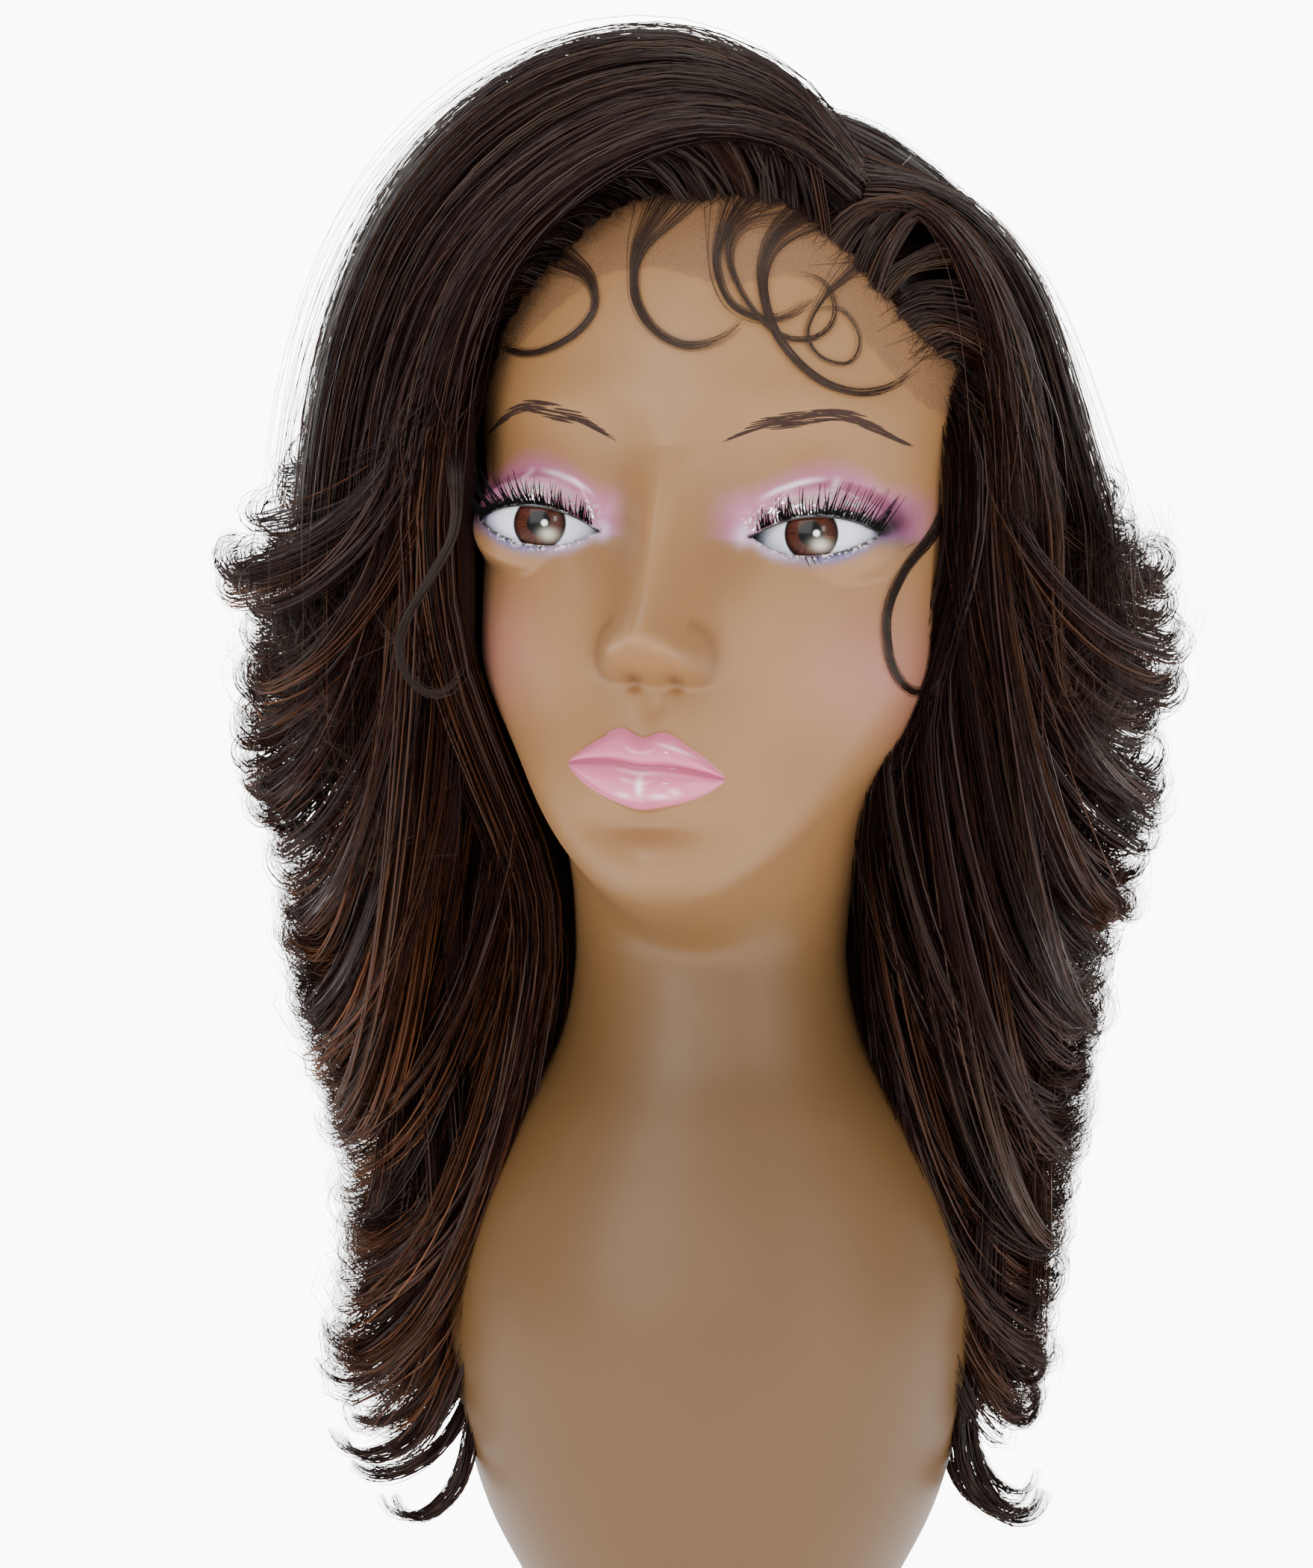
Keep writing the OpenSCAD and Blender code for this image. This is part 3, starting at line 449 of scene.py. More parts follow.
# Each coat of paint: its colour and how much of it lands at each point. Some are painted shade and highlights.
coats = (
    ((93, 66, 36), ease((225 - Z) / 60)),  # bust
    ((68, 48, 22), 0.5 * bell((Z - 194) / 28)),  # painted shadow of the chin on the neck
    ((168, 98, 112), 0.30 * bell((B - 54) / 17) * bell((Z - 284) / 17) * head_front),  # blush
    ((104, 72, 44), 0.30 * bell((B - 14) / 7) * bell((Z - 318) / 26) * head_front),  # painted shade on the sides of the nose
    ((110, 78, 50), 0.35 * bell((N - 15) / 5.5) * bell((Z - 281) / 8) * head_front),  # painted shade beside the wings of the nose
    ((176, 98, 142), 0.88 * shadow),  # eye shadow, then its fold and its outer wing
    ((128, 70, 92), 0.5 * bell((over_lid - 8.5) / 2.6) * ease((V + 0.9) / 1.2) * shadow),
    ((74, 50, 62), 0.85 * bell((V - 1.2) / 0.28) * bell((Z - EYE_Z - 3 - 5 * (V - 1)) / 6) * head_front),
    # Pale lid, lilac and blue under the eye, and the inner corner.
    ((204, 160, 172), 0.75 * bell((V + 0.15) / 0.6) * bell((over_lid - 5.0) / 3.0) * head_front),
    ((176, 160, 196), 0.7 * bell((V + 0.6) / 0.45) * bell((under_lid - 0.6) / 2.0) * below),
    ((72, 78, 128), 0.85 * bell((V - 0.45) / 0.75) * bell((under_lid - 1.0) / 2.0) * below),
    ((206, 190, 214), 0.6 * bell((V + 1.08) / 0.13) * bell((Z - EYE_Z + 1.5) / 2.6) * head_front),
    ((17, 12, 13), liner),
    ((196, 104, 132), in_lips * 1.0),  # lips
    ((140, 66, 88), in_lips * bell((Z - lip_line(X)) / 0.6) * 0.6),  # painted shade in the groove between the lips
    ((84, 58, 38), 0.6 * bell((N - 5.8) / 2.2) * bell((Z - 277.4) / 1.4) * head_front),  # painted shade in the nostrils
    # Painted shade in the creases round the wings of the nose.
    ((92, 64, 40), 0.42 * bell((crease - 1.12) / 0.2) * (N > 10.5) * (Z > 276) * head_front),
    # Dark outer corner, then the painted highlights on the lids and on the lips.
    ((20, 13, 16), 0.9 * ease((1.42 - V) / 0.3) * ease((V - 0.8) / 0.25)
        * bell((Z - EYE_Z - 1.6 - 7 * (V - 1)) / 2.6) * head_front),
    ((246, 226, 236), 0.75 * painted_lid_highlight * head_front),
    ((250, 226, 236), 0.8 * painted_lip_highlight * in_lips),
)
skin_tone = np.broadcast_to(srgb(135, 98, 61), face_local.shape)
for colour, amount in coats:
    skin_tone = lay(skin_tone, srgb(*colour), amount)
gloss = np.clip(in_lips * 1.0 + 0.85 * shadow, 0, 1)
glitter = (ease((8.5 - over_lid) / 4) * ease((over_lid - 0.3) / 1) * ease((1.1 - abs(V + 0.1)) / 0.4)
    * head_front)
glitter = np.maximum(glitter, 0.5 * ease((2.4 - under_lid) / 2) * (under_lid > -0.5)
    * ease((1.1 - abs(V)) / 0.3) * head_front)


def skin_material():
    """Painted satin plastic: the paint's colours with painted shade and highlights, faint mottling, glossy
    make-up and glitter specks.
    """
    made, tree, shader = new_material("painted_skin", Specular_IOR_Level=0.36, Subsurface_Weight=0.05,
        Subsurface_Radius=(0.003, 0.0015, 0.001))
    link = tree.links.new
    coat, gloss_coat, glitter_coat = (add_node(tree, "Attribute") for _ in range(3))
    coat.attribute_name, gloss_coat.attribute_name, glitter_coat.attribute_name = "paint", "gloss", "glitter"
    place = add_node(tree, "TexCoord")
    mottle = add_node(tree, "TexNoise", Scale=30, Detail=5)
    grain = add_node(tree, "TexNoise", Scale=1400, Detail=2)
    specks = add_node(tree, "TexVoronoi", Scale=1500)
    for texture in (mottle, grain, specks):
        link(place.outputs["Object"], texture.inputs["Vector"])
    ramp = add_node(tree, "MapRange", To_Min=0.93, To_Max=1.05)
    link(mottle.outputs["Fac"], ramp.inputs["Value"])
    tint = add_node(tree, "Mix")
    tint.data_type, tint.blend_type = "RGBA", "MULTIPLY"
    tint.inputs["Factor"].default_value = 1
    link(coat.outputs["Color"], tint.inputs["A"])
    link(ramp.outputs["Result"], tint.inputs["B"])
    split = add_node(tree, "SeparateColor")
    flake = add_node(tree, "MapRange", From_Min=0.66, From_Max=0.78)
    seen = add_node(tree, "Math")
    seen.operation = "MULTIPLY"
    link(specks.outputs["Color"], split.inputs["Color"])
    link(split.outputs["Red"], flake.inputs["Value"])
    link(flake.outputs["Result"], seen.inputs[0])
    link(glitter_coat.outputs["Fac"], seen.inputs[1])
    flecked = add_node(tree, "Mix")
    flecked.data_type = "RGBA"
    flecked.inputs["B"].default_value = (0.85, 0.80, 0.74, 1)
    link(seen.outputs["Value"], flecked.inputs["Factor"])
    link(tint.outputs["Result"], flecked.inputs["A"])
    link(flecked.outputs["Result"], shader.inputs["Base Color"])
    link(seen.outputs["Value"], shader.inputs["Metallic"])
    rough = add_node(tree, "MapRange", To_Min=0.46, To_Max=0.12)
    link(gloss_coat.outputs["Fac"], rough.inputs["Value"])
    link(rough.outputs["Result"], shader.inputs["Roughness"])
    bump = add_node(tree, "Bump", Strength=0.06, Distance=0.0002)
    link(grain.outputs["Fac"], bump.inputs["Height"])
    link(bump.outputs["Normal"], shader.inputs["Normal"])
    return made


painted_skin = skin_material()


def colour_points(mesh_object, name, colours):
    attribute = mesh_object.data.attributes.new(name, "FLOAT_COLOR", "POINT")
    rgba = np.concatenate([colours.reshape(-1, 3), np.ones((colours.size // 3, 1))], 1)
    attribute.data.foreach_set("color", rgba.astype(np.float32).ravel())


# Front half: the faces inside each almond are left out, and the edges turned in by the wall.
rows, cols = T.shape
quads = grid_quads(rows, cols)
centre = face_local.reshape(-1, 3)[quads].mean(1)
cx, cz = centre[:, 0], centre[:, 2]
in_eye = ((cz < upper_lid(cx)) & (cz > lower_lid(cx)) & (abs(eye_side(cx) - EYE_X) < EYE_HALF)
    & (centre[:, 1] < -20) & (cz > 300))
kept = quads[~in_eye]
edges = {}
for face in kept:
    for k in range(4):
        a, b = int(face[k]), int(face[(k + 1) % 4])
        if (b, a) in edges:
            del edges[(b, a)]
        else:
            edges[(a, b)] = True
open_edges = np.array([e for e in edges])
rim = np.unique(open_edges)
flat_world = face_world.reshape(-1, 3)
flat_local = face_local.reshape(-1, 3)
mid = flat_local[rim]
round_eye = ((abs(eye_side(mid[:, 0]) - EYE_X) < EYE_HALF + 2) & (abs(mid[:, 2] - EYE_Z) < 14)
    & (mid[:, 1] < -20))
inward = np.stack([-mid[:, 0], 5 - mid[:, 1], 0 * mid[:, 0]], -1)
inward /= np.linalg.norm(inward, axis=1, keepdims=True) + 1e-9
inward[round_eye] = (0, 1, 0)
inner = flat_world[rim] + inward * WALL
index_of = np.full(len(flat_world), -1)
index_of[rim] = len(flat_world) + np.arange(len(rim))
rim_quads = np.stack([open_edges[:, 1], open_edges[:, 0], index_of[open_edges[:, 0]],
    index_of[open_edges[:, 1]]], 1)
front_shell = quad_mesh("front_half_shell", np.concatenate([flat_world, inner]),
    np.concatenate([kept, rim_quads]))
rim_tone = np.concatenate([skin_tone.reshape(-1, 3),
    np.where(round_eye[:, None], srgb(30, 22, 22), skin_tone.reshape(-1, 3)[rim])])
colour_points(front_shell, "paint", rim_tone)
paint(front_shell, "gloss", np.concatenate([gloss.ravel(), 0 * rim]))
paint(front_shell, "glitter", np.concatenate([glitter.ravel(), 0 * rim]))
front_shell.data.materials.append(painted_skin)
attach(front_shell, "mannequin")
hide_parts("front_shell")

# Rear half, with the rest of each ear.
back_rows = spans((0, 8, 60), (8, 24, 150), (24, CROWN, 30))
TB, AB = np.meshgrid(back_rows, np.radians(np.linspace(100, 260, 150)), indexing="ij")
back_plain = plain(TB, AB)
away = np.where(AB > math.pi, AB - 2 * math.pi, AB)
ear = np.where(TB > 12, ear_height(away, back_plain[..., 2]), 0)
back_world = turned(back_plain + np.stack([np.sin(AB) * ear, -np.cos(AB) * ear, 0 * ear], -1), twist(TB))
rear_shell = quad_mesh("rear_half_shell", back_world.reshape(-1, 3), grid_quads(*TB.shape))
tone = lay(np.broadcast_to(srgb(140, 103, 68), back_world.shape), srgb(100, 72, 42),
    ease((225 - back_plain[..., 2]) / 60))
colour_points(rear_shell, "paint", tone)
rear_shell.data.materials.append(painted_skin)
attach(rear_shell, "mannequin")
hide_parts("rear_shell")

# ---- Eyes -----------------------------------------------------------------------------------
# Glossy inset eyes: a bluish white dome, a red-brown iris with fibres, a black pupil and a dark
# ring, with painted catch lights, under a clear coat.


def eye_material():
    """Colours by distance and angle from the pupil's centre, with a hard clear coat."""
    made, tree, shader = new_material("painted_eye", Roughness=0.25, Specular_IOR_Level=0.1,
        Coat_Weight=0.10, Coat_Roughness=0.02)
    coat = add_node(tree, "Attribute")
    coat.attribute_name = "paint"
    tree.links.new(coat.outputs["Color"], shader.inputs["Base Color"])
    return made


painted_eye = eye_material()
rng = np.random.default_rng(11)
for side, name in ((-1, "left"), (1, "right")):
    out = spans((0, 12.5, 60), (12.5, 19.5, 24))
    circle = np.linspace(0, 2 * math.pi, 181)
    R, PHI = np.meshgrid(out, circle, indexing="ij")
    px = side * EYE_X - EYE_SHIFT + R * np.cos(PHI)
    pz = EYE_Z - 0.3 + R * np.sin(PHI) * (1 - 0.42 * ease((R - 7.8) / 11))
    bulge = np.where(R < 7.2, 0.5 * np.clip(1 - (R / 7.2) ** 2, 0, 1), 0)
    off_axis = (px - side * EYE_X + EYE_SHIFT) ** 2 + (pz - EYE_Z + 0.3) ** 2
    py = EYE_Y - np.sqrt(np.maximum((EYE_R - 0.3) ** 2 - off_axis, 1)) - bulge
    fibre = rng.normal(size=181)
    fibre = np.convolve(np.concatenate([fibre[-3:], fibre, fibre[:3]]), [0.25, 0.5, 0.25], "same")[3:-3]
    spokes = np.broadcast_to(fibre, R.shape)
    white = lay(np.broadcast_to(srgb(212, 216, 226), px.shape + (3,)), srgb(176, 176, 196),
        ease((R - 10) / 7))
    iris = lay(np.broadcast_to(srgb(34, 14, 8), px.shape + (3,)), srgb(80, 38, 22),
        0.4 + 0.3 * spokes * ease((R - 3) / 2))
    iris = lay(iris, srgb(22, 11, 9), ease((R - 5.7) / 1.6))
    tone = white + (iris - white) * ease((7.8 - R) / 0.5)[..., None]
    tone = lay(tone, srgb(5, 4, 4), ease((3.7 - R) / 0.6))
    from_x, from_z = R * np.cos(PHI), R * np.sin(PHI)
    # Painted reflections of the lamps: a soft pale glow low beside the pupil and a small white catch light.
    tone = lay(tone, srgb(206, 200, 184), 0.7 * bell(np.hypot((from_x - 2.9) / 2.3, (from_z + 3.0) / 1.7)))
    tone = lay(tone, srgb(255, 255, 255), ease(1.6 - np.hypot(from_x - 1.7, from_z - 0.1) / 0.75))
    ball = quad_mesh("eye_" + name, turned(np.stack([px, py, pz], -1)).reshape(-1, 3),
        grid_quads(*R.shape)[:, ::-1])
    colour_points(ball, "paint", tone)
    ball.data.materials.append(painted_eye)
    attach(ball, "mannequin")
    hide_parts("eye_" + name)

# ---- Lashes and brows -----------------------------------------------------------------------
# Strip lashes glued over each upper lid, a few short painted lashes under the eye, and brows laid
# on as single strokes. Each hair is a thin tapering ribbon.
skin_tree = BVHTree.FromPolygons([Vector(p) for p in flat_local], kept.tolist())


def skin_y(x, z):
    """The front of the skin at x, z in the head's own frame."""
    hit = skin_tree.ray_cast(Vector((x, -200, z)), Vector((0, 1, 0)))[0]
    return hit.y if hit else -60.0


def ribbons(name, paths, widths, facing, material, colours=None):
    """One mesh of flat tapering hairs. paths is strand by point by xyz, widths goes by point or by
    strand and point, and facing is the side they show."""
    along = np.gradient(paths, axis=1)
    across = np.cross(along, facing)
    across /= np.linalg.norm(across, axis=-1, keepdims=True) + 1e-9
    half_width = widths[..., None] / 2
    points = np.stack([paths - across * half_width, paths + across * half_width], 2)
    n, k = paths.shape[:2]
    strip = np.stack([np.arange(k - 1) * 2, np.arange(k - 1) * 2 + 1, np.arange(k - 1) * 2 + 3,
        np.arange(k - 1) * 2 + 2], 1)
    faces = (strip[None] + np.arange(n)[:, None, None] * 2 * k).reshape(-1, 4)
    made = quad_mesh(name, points.reshape(-1, 3), faces)
    if colours is not None:
        colour_points(made, "paint", np.repeat(colours.reshape(n * k, 3), 2, 0))
    made.data.materials.append(material)
    return made


def plain_material(name, colour, roughness, grain=(300, 300, 300), **more):
    """One colour, uneven in tone, gloss and surface at the scale of its grain."""
    made, tree, shader = new_material(name, **more)
    place, stretch = add_node(tree, "TexCoord"), add_node(tree, "Mapping", Scale=grain)
    noise = add_node(tree, "TexNoise", Scale=1, Detail=6)
    tree.links.new(place.outputs["Object"], stretch.inputs["Vector"])
    tree.links.new(stretch.outputs["Vector"], noise.inputs["Vector"])
    tone = add_node(tree, "MapRange", To_Min=0.70, To_Max=1.25)
    gloss = add_node(tree, "MapRange", To_Min=roughness - 0.1, To_Max=roughness + 0.1)
    tint = add_node(tree, "Mix")
    tint.data_type, tint.blend_type = "RGBA", "MULTIPLY"
    tint.inputs["Factor"].default_value = 1
    tint.inputs["A"].default_value = (*srgb(*colour), 1)
    bump = add_node(tree, "Bump", Strength=0.25, Distance=0.0002)
    for ramp in (tone, gloss):
        tree.links.new(noise.outputs["Fac"], ramp.inputs["Value"])
    tree.links.new(tone.outputs["Result"], tint.inputs["B"])
    tree.links.new(tint.outputs["Result"], shader.inputs["Base Color"])
    tree.links.new(gloss.outputs["Result"], shader.inputs["Roughness"])
    tree.links.new(noise.outputs["Fac"], bump.inputs["Height"])
    tree.links.new(bump.outputs["Normal"], shader.inputs["Normal"])
    return made


FORWARD = np.array([0.0, -1.0, 0.0])
BROW_WIDTHS = np.array([0.14, 0.34, 0.46, 0.48, 0.42, 0.28, 0.08])
lash_fibre = plain_material("lash_fibre", (9, 7, 8), 0.8, Specular_IOR_Level=0.05)
brow_ink = plain_material("brow_ink", (58, 42, 36), 0.7, Specular_IOR_Level=0.1)
rng = np.random.default_rng(5)
for side, name in ((-1, "left"), (1, "right")):
    hairs = []
    for u in np.concatenate([np.linspace(-0.86, 1.08, 40), rng.uniform(-0.8, 1.05, 34)]):
        x = side * (EYE_X + EYE_HALF * u) - EYE_SHIFT
        z = upper_lid(x) + 0.7
        y = skin_y(x, z) - 0.1
        long = (6.5 + 3.2 * ease((u + 0.8) / 1.5)) * rng.uniform(0.55, 1.12)
        lean = side * (-0.10 + 0.75 * ease((u + 0.5) / 1.6)) + rng.normal() * 0.13
        s = np.linspace(0, 1, 8)
        hairs.append(np.stack([x + lean * long * s ** 1.3, y - long * 0.55 * np.sin(s * 1.6),
            z + long * (0.62 * s ** 2 + 0.28 * s)], -1))
    hairs = turned(np.array(hairs))
    strip = ribbons("lash_strip_" + name, hairs, np.linspace(0.62, 0.10, 8),
        np.array([0.1, -1.0, -0.2]), lash_fibre)
    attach(strip, "mannequin")
    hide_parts("lash_strip_" + name)
    hairs = []
    for u in np.linspace(-0.1, 0.95, 9):
        x = side * (EYE_X + EYE_HALF * (u + rng.normal() * 0.02)) - EYE_SHIFT
        z = lower_lid(x) - 0.3
        long = 3.4 + rng.normal() * 0.5
        s = np.linspace(0, 1, 6)
        xs, zs = x + side * long * 0.5 * s, z - long * s
        hairs.append([(a, skin_y(a, b) - 0.12, b) for a, b in zip(xs, zs)])
    hairs = turned(np.array(hairs))
    lower = ribbons("lower_lashes_" + name, hairs, np.linspace(0.34, 0.12, 6), FORWARD, lash_fibre)
    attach(lower, "mannequin")

    # Brow: a fan of long strokes at the inner end, then a body of strokes that thins outward.
    hairs = []
    strokes = [(15 + 0.9 * i + rng.normal() * 0.3, 342.6 + 0.62 * i + rng.normal() * 0.2, 13.5 - 0.4 * i,
        0.50 - 0.028 * i) for i in range(12)]
    for u in np.linspace(0, 1, 70):
        x0 = 25 + 31 * u
        spine = 347.8 + 4.6 * math.sin(min(u / 0.62, 1) * math.pi / 2) - 4.2 * ease((u - 0.55) / 0.55)
        off = rng.uniform(-2.3, 1.9) * (1 - 0.85 * u ** 1.5)
        slope = 0.24 - 0.55 * ease((u - 0.25) / 0.75)
        strokes.append((x0, spine + off, 8.5 - 2 * u, slope))
    for x0, z0, long, slope in strokes:
        s = np.linspace(0, 1, 7)
        xs, zs = x0 + long * s, z0 + long * s * slope - 0.10 * long * s * s * 0.6
        xs = side * xs - EYE_SHIFT
        hairs.append([(a, skin_y(a, b) - 0.1, b) for a, b in zip(xs, zs)])
    hairs = turned(np.array(hairs))
    brow = ribbons("brow_" + name, hairs, BROW_WIDTHS, FORWARD, brow_ink)
    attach(brow, "mannequin")

# ---- Base and cap parts ---------------------------------------------------------------------
# The parts whose CAD shape is right keep it and get their finish here.
finishes = {
    "seam_strip_left": plain_material("grey_resin", (120, 112, 104), 0.6),
    "base_ring": plain_material("turned_wood", (150, 112, 76), 0.55, (40, 700, 700)),
    "base_screws": plain_material("screw_steel", (170, 170, 172), 0.3, (900, 900, 60), Metallic=1.0),
    "base_weight": plain_material("cast_iron", (60, 60, 62), 0.6, Metallic=0.8),
    "base_pad": plain_material("foam_pad", (40, 40, 42), 0.9),
    "cap_top": plain_material("cap_net", (24, 17, 16), 0.85, (1200, 1200, 1200)),
    "nape_band": plain_material("elastic_band", (22, 18, 18), 0.8, (1500, 1500, 200)),
    "adjuster_hook_left": plain_material("hook_plastic", (26, 22, 22), 0.35),
    "comb_left": plain_material("comb_steel", (70, 62, 60), 0.35, (900, 900, 80), Metallic=0.9),
    "weft_tracks": plain_material("weft_hair", (30, 20, 19), 0.6, (900, 900, 60)),
}
shared = {"seam_strip_right": "seam_strip_left", "base_plate": "base_weight", "cap_back": "cap_top",
          "ear_tab_left": "nape_band", "ear_tab_right": "nape_band", "adjuster_strap_left": "nape_band",
          "adjuster_strap_right": "nape_band", "adjuster_hook_right": "adjuster_hook_left",
          "comb_right": "comb_left", "comb_nape": "comb_left"}
for name, made in list(finishes.items()) + [(a, finishes[b]) for a, b in shared.items()]:
    nodes[name].data.materials.clear()
    nodes[name].data.materials.append(made)

# ---- Hair -----------------------------------------------------------------------------------
# Each hair piece is thousands of single ribbons over a thin sheet, dark as hair in shade, that keeps light
# out.
# Ribbons gather into locks: each lock has a guide curve, and its hairs draw together toward the
# tip. The tones run from near black and plum to auburn, rust and ash.
OVAL_X, OVAL_Y, OVAL_W, OVAL_D = 3.0, 8.0, 82.0, 102.0
DARK, PLUM, AUBURN, RUST, ASH = (srgb(*c)
    for c in ((17, 10, 10), (36, 20, 20), (74, 42, 24), (102, 60, 33), (68, 50, 36)))


def hair_material():
    """Fibre colour from the strand's own paint, with a soft broken gloss."""
    made, tree, shader = new_material("fibre_hair", Roughness=0.42, Specular_IOR_Level=0.22,
        Specular_Tint=(1.0, 0.86, 0.72, 1))
    coat = add_node(tree, "Attribute")
    coat.attribute_name = "paint"
    tree.links.new(coat.outputs["Color"], shader.inputs["Base Color"])
    return made


fibre_hair = hair_material()
hair_shade = plain_material("hair_shade", (38, 25, 23), 0.9, Specular_IOR_Level=0.0)


def around(angle, depth, z):
    """A point in the falling hair: an angle from the front, a depth off the clear oval, a height."""
    return np.stack(np.broadcast_arrays(OVAL_X + (OVAL_W + depth) * np.sin(angle),
                                        OVAL_Y - (OVAL_D + depth) * np.cos(angle), z), -1)


def resample(path, count, crowd=1):
    """A smooth curve through control points, at even steps or with more of them near the end."""
    path = np.asarray(path, float)
    key = np.arange(len(path))
    fine = np.linspace(0, len(path) - 1, 12 * len(path))
    i = np.minimum(fine.astype(int), len(path) - 2)
    u = (fine - i)[:, None]
    p0, p1, p2, p3 = (path[np.clip(i + k, 0, len(path) - 1)] for k in (-1, 0, 1, 2))
    curve = p1 + 0.5 * u * (p2 - p0 + u * (2 * p0 - 5 * p1 + 4 * p2 - p3 + u * (3 * (p1 - p2) + p3 - p0)))
    length = np.concatenate([[0], np.cumsum(np.linalg.norm(np.diff(curve, axis=0), axis=1))])
    q = np.linspace(0, 1, count)
    want = length[-1] * (q if crowd == 1 else 1 - (1 - q) ** crowd)
    return np.stack([np.interp(want, length, curve[:, k]) for k in range(3)], -1)


POINTS = 26  # along each hair


def grow(guides, hairs, rng, root_r, tip_r, stray, crowd):
    """Hairs about each guide. Returns the paths and, for each hair, the number of its lock."""
    paths, locks = [], []
    s = np.linspace(0, 1, POINTS)[:, None]
    for g, guide in enumerate(guides):
        line = resample(guide, POINTS, crowd)
        along = np.gradient(line, axis=0)
        along /= np.linalg.norm(along, axis=1, keepdims=True) + 1e-9
        first = np.cross(along, (0.3, 0.9, 0.1))
        first /= np.linalg.norm(first, axis=1, keepdims=True) + 1e-9
        second = np.cross(along, first)
        turn = rng.uniform(0, 2 * math.pi, hairs)
        reach = np.sqrt(rng.uniform(0, 1, hairs))
        for t, r in zip(turn, reach):
            fly = rng.uniform() < stray
            spread = root_r + (tip_r * (2.6 if fly else 1) - root_r) * ease(s * 1.15)
            swirl = t + (rng.normal() * 0.9) * s
            wave = rng.normal(0, 1, 4)
            wobble = (0.9 * (wave[0] * np.sin(5 * s + wave[1]) + 0.5 * wave[2] * np.sin(13 * s + wave[3]))
                * s * (2.2 if fly else 1))
            path = (line + first * (np.cos(swirl) * r * spread + wobble)
                + second * (np.sin(swirl) * r * spread + 0.6 * wobble * wave[1]))
            cut = rng.uniform(0.95, 1.0)
            keep = np.linspace(0, (POINTS - 1) * cut, POINTS)
            paths.append(np.stack([np.interp(keep, np.arange(POINTS), path[:, k]) for k in range(3)], -1))
            locks.append(g)
    return np.array(paths), np.array(locks)


def hair_piece(name, cad_names, guides, hairs, seed, root_r, tip_r, tones, mass=None, width=0.42,
    stray=0.05, crowd=1.7):
    """A finished hair piece: so many hairs about each guide, in place of CAD nodes, and the dark
    sheet under them if there is one. Each hair thins over its last quarter."""
    rng = np.random.default_rng(seed)
    paths, locks = grow(guides, hairs, rng, root_r, tip_r, stray, crowd)
    n, k = paths.shape[:2]
    mid = np.array([0, OVAL_Y, 300.0])
    facing = paths - mid
    facing[..., 2] *= 0.35
    facing /= np.linalg.norm(facing, axis=-1, keepdims=True)
    facing += rng.normal(0, 0.38, (n, 1, 3))
    s = np.linspace(0, 1, k)
    widths = width * rng.uniform(0.7, 1.25, (n, 1)) * (1 - 0.75 * ease((s - 0.72) / 0.28))[None]
    tone_of_lock = tones(np.array([g[len(g) // 2] for g in guides], float), rng)
    own_tone = tones(paths[:, k // 2], rng)
    shade = ((0.65 * tone_of_lock[locks] + 0.35 * own_tone)[:, None] * rng.uniform(0.75, 1.25, (n, 1, 1))
        * (0.75 + 0.35 * ease(s * 2))[None, :, None])
    made = ribbons(name, paths, widths, facing, fibre_hair, shade)
    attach(made, "wig")
    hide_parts(*cad_names)
    if mass is not None:
        inner, outer = mass
        rows, cols = inner.shape[:2]
        n = rows * cols
        front, back = grid_quads(rows, cols), grid_quads(rows, cols, n)[:, ::-1]
        top, foot_row = np.arange(cols), np.arange(cols) + (rows - 1) * cols
        left, right = np.arange(rows) * cols, np.arange(rows) * cols + cols - 1
        walls = [np.stack([e[1:], e[:-1], e[:-1] + n, e[1:] + n], 1)
            for e in (top, foot_row[::-1], left[::-1], right)]
        core = quad_mesh(name + "_mass", np.concatenate([outer.reshape(-1, 3), inner.reshape(-1, 3)]),
            np.concatenate([front, back] + walls))
        core.data.materials.append(hair_shade)
        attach(core, "wig")
    return made


# How far the falls stand out at each height, at the sides and at the back.
HEIGHTS = (40, 60, 85, 120, 155, 195, 235, 265, 290, 310, 340, 372, 398, 420)
LEFT_FULL = (0, 20, 30, 28, 33, 44, 53, 59, 57, 62, 47, 36, 24, 8)
RIGHT_FULL = (2, 10, 14, 20, 26, 30, 42, 48, 50, 45, 34, 18, 6, 0)
BACK_FULL = (6, 10, 14, 18, 22, 26, 28, 28, 27, 25, 22, 16, 6, 0)


def fullness(angle, z):
    """The outline's depth off the oval at an angle and a height."""
    a = abs(angle)
    side = np.where(angle < 0, np.interp(z, HEIGHTS, LEFT_FULL), np.interp(z, HEIGHTS, RIGHT_FULL))
    back = np.interp(z, HEIGHTS, BACK_FULL)
    front = 0.45 + 0.55 * ease((a - 1.0) / 0.5)
    return side * front + (back - side * front) * ease((a - 1.75) / 0.8)


def fall_mass(low, high):
    """The closed inner mass of a fall, a few millimetres thick, that keeps light out of the fall."""
    z, a = np.meshgrid(np.linspace(396, 150, 40), np.radians(np.linspace(low, high, 12)), indexing="ij")
    a = a + np.where(abs(a) < 1.30, np.sign(a) * 1.2 * (1.36 - abs(a)), 0) * ease((300 - z) / 90)
    taper = ease((z - 150) / 60) * ease((398 - z) / 20)
    return around(a, -5 + 0 * z, z), around(a, -4.5 + 5 * taper, z)


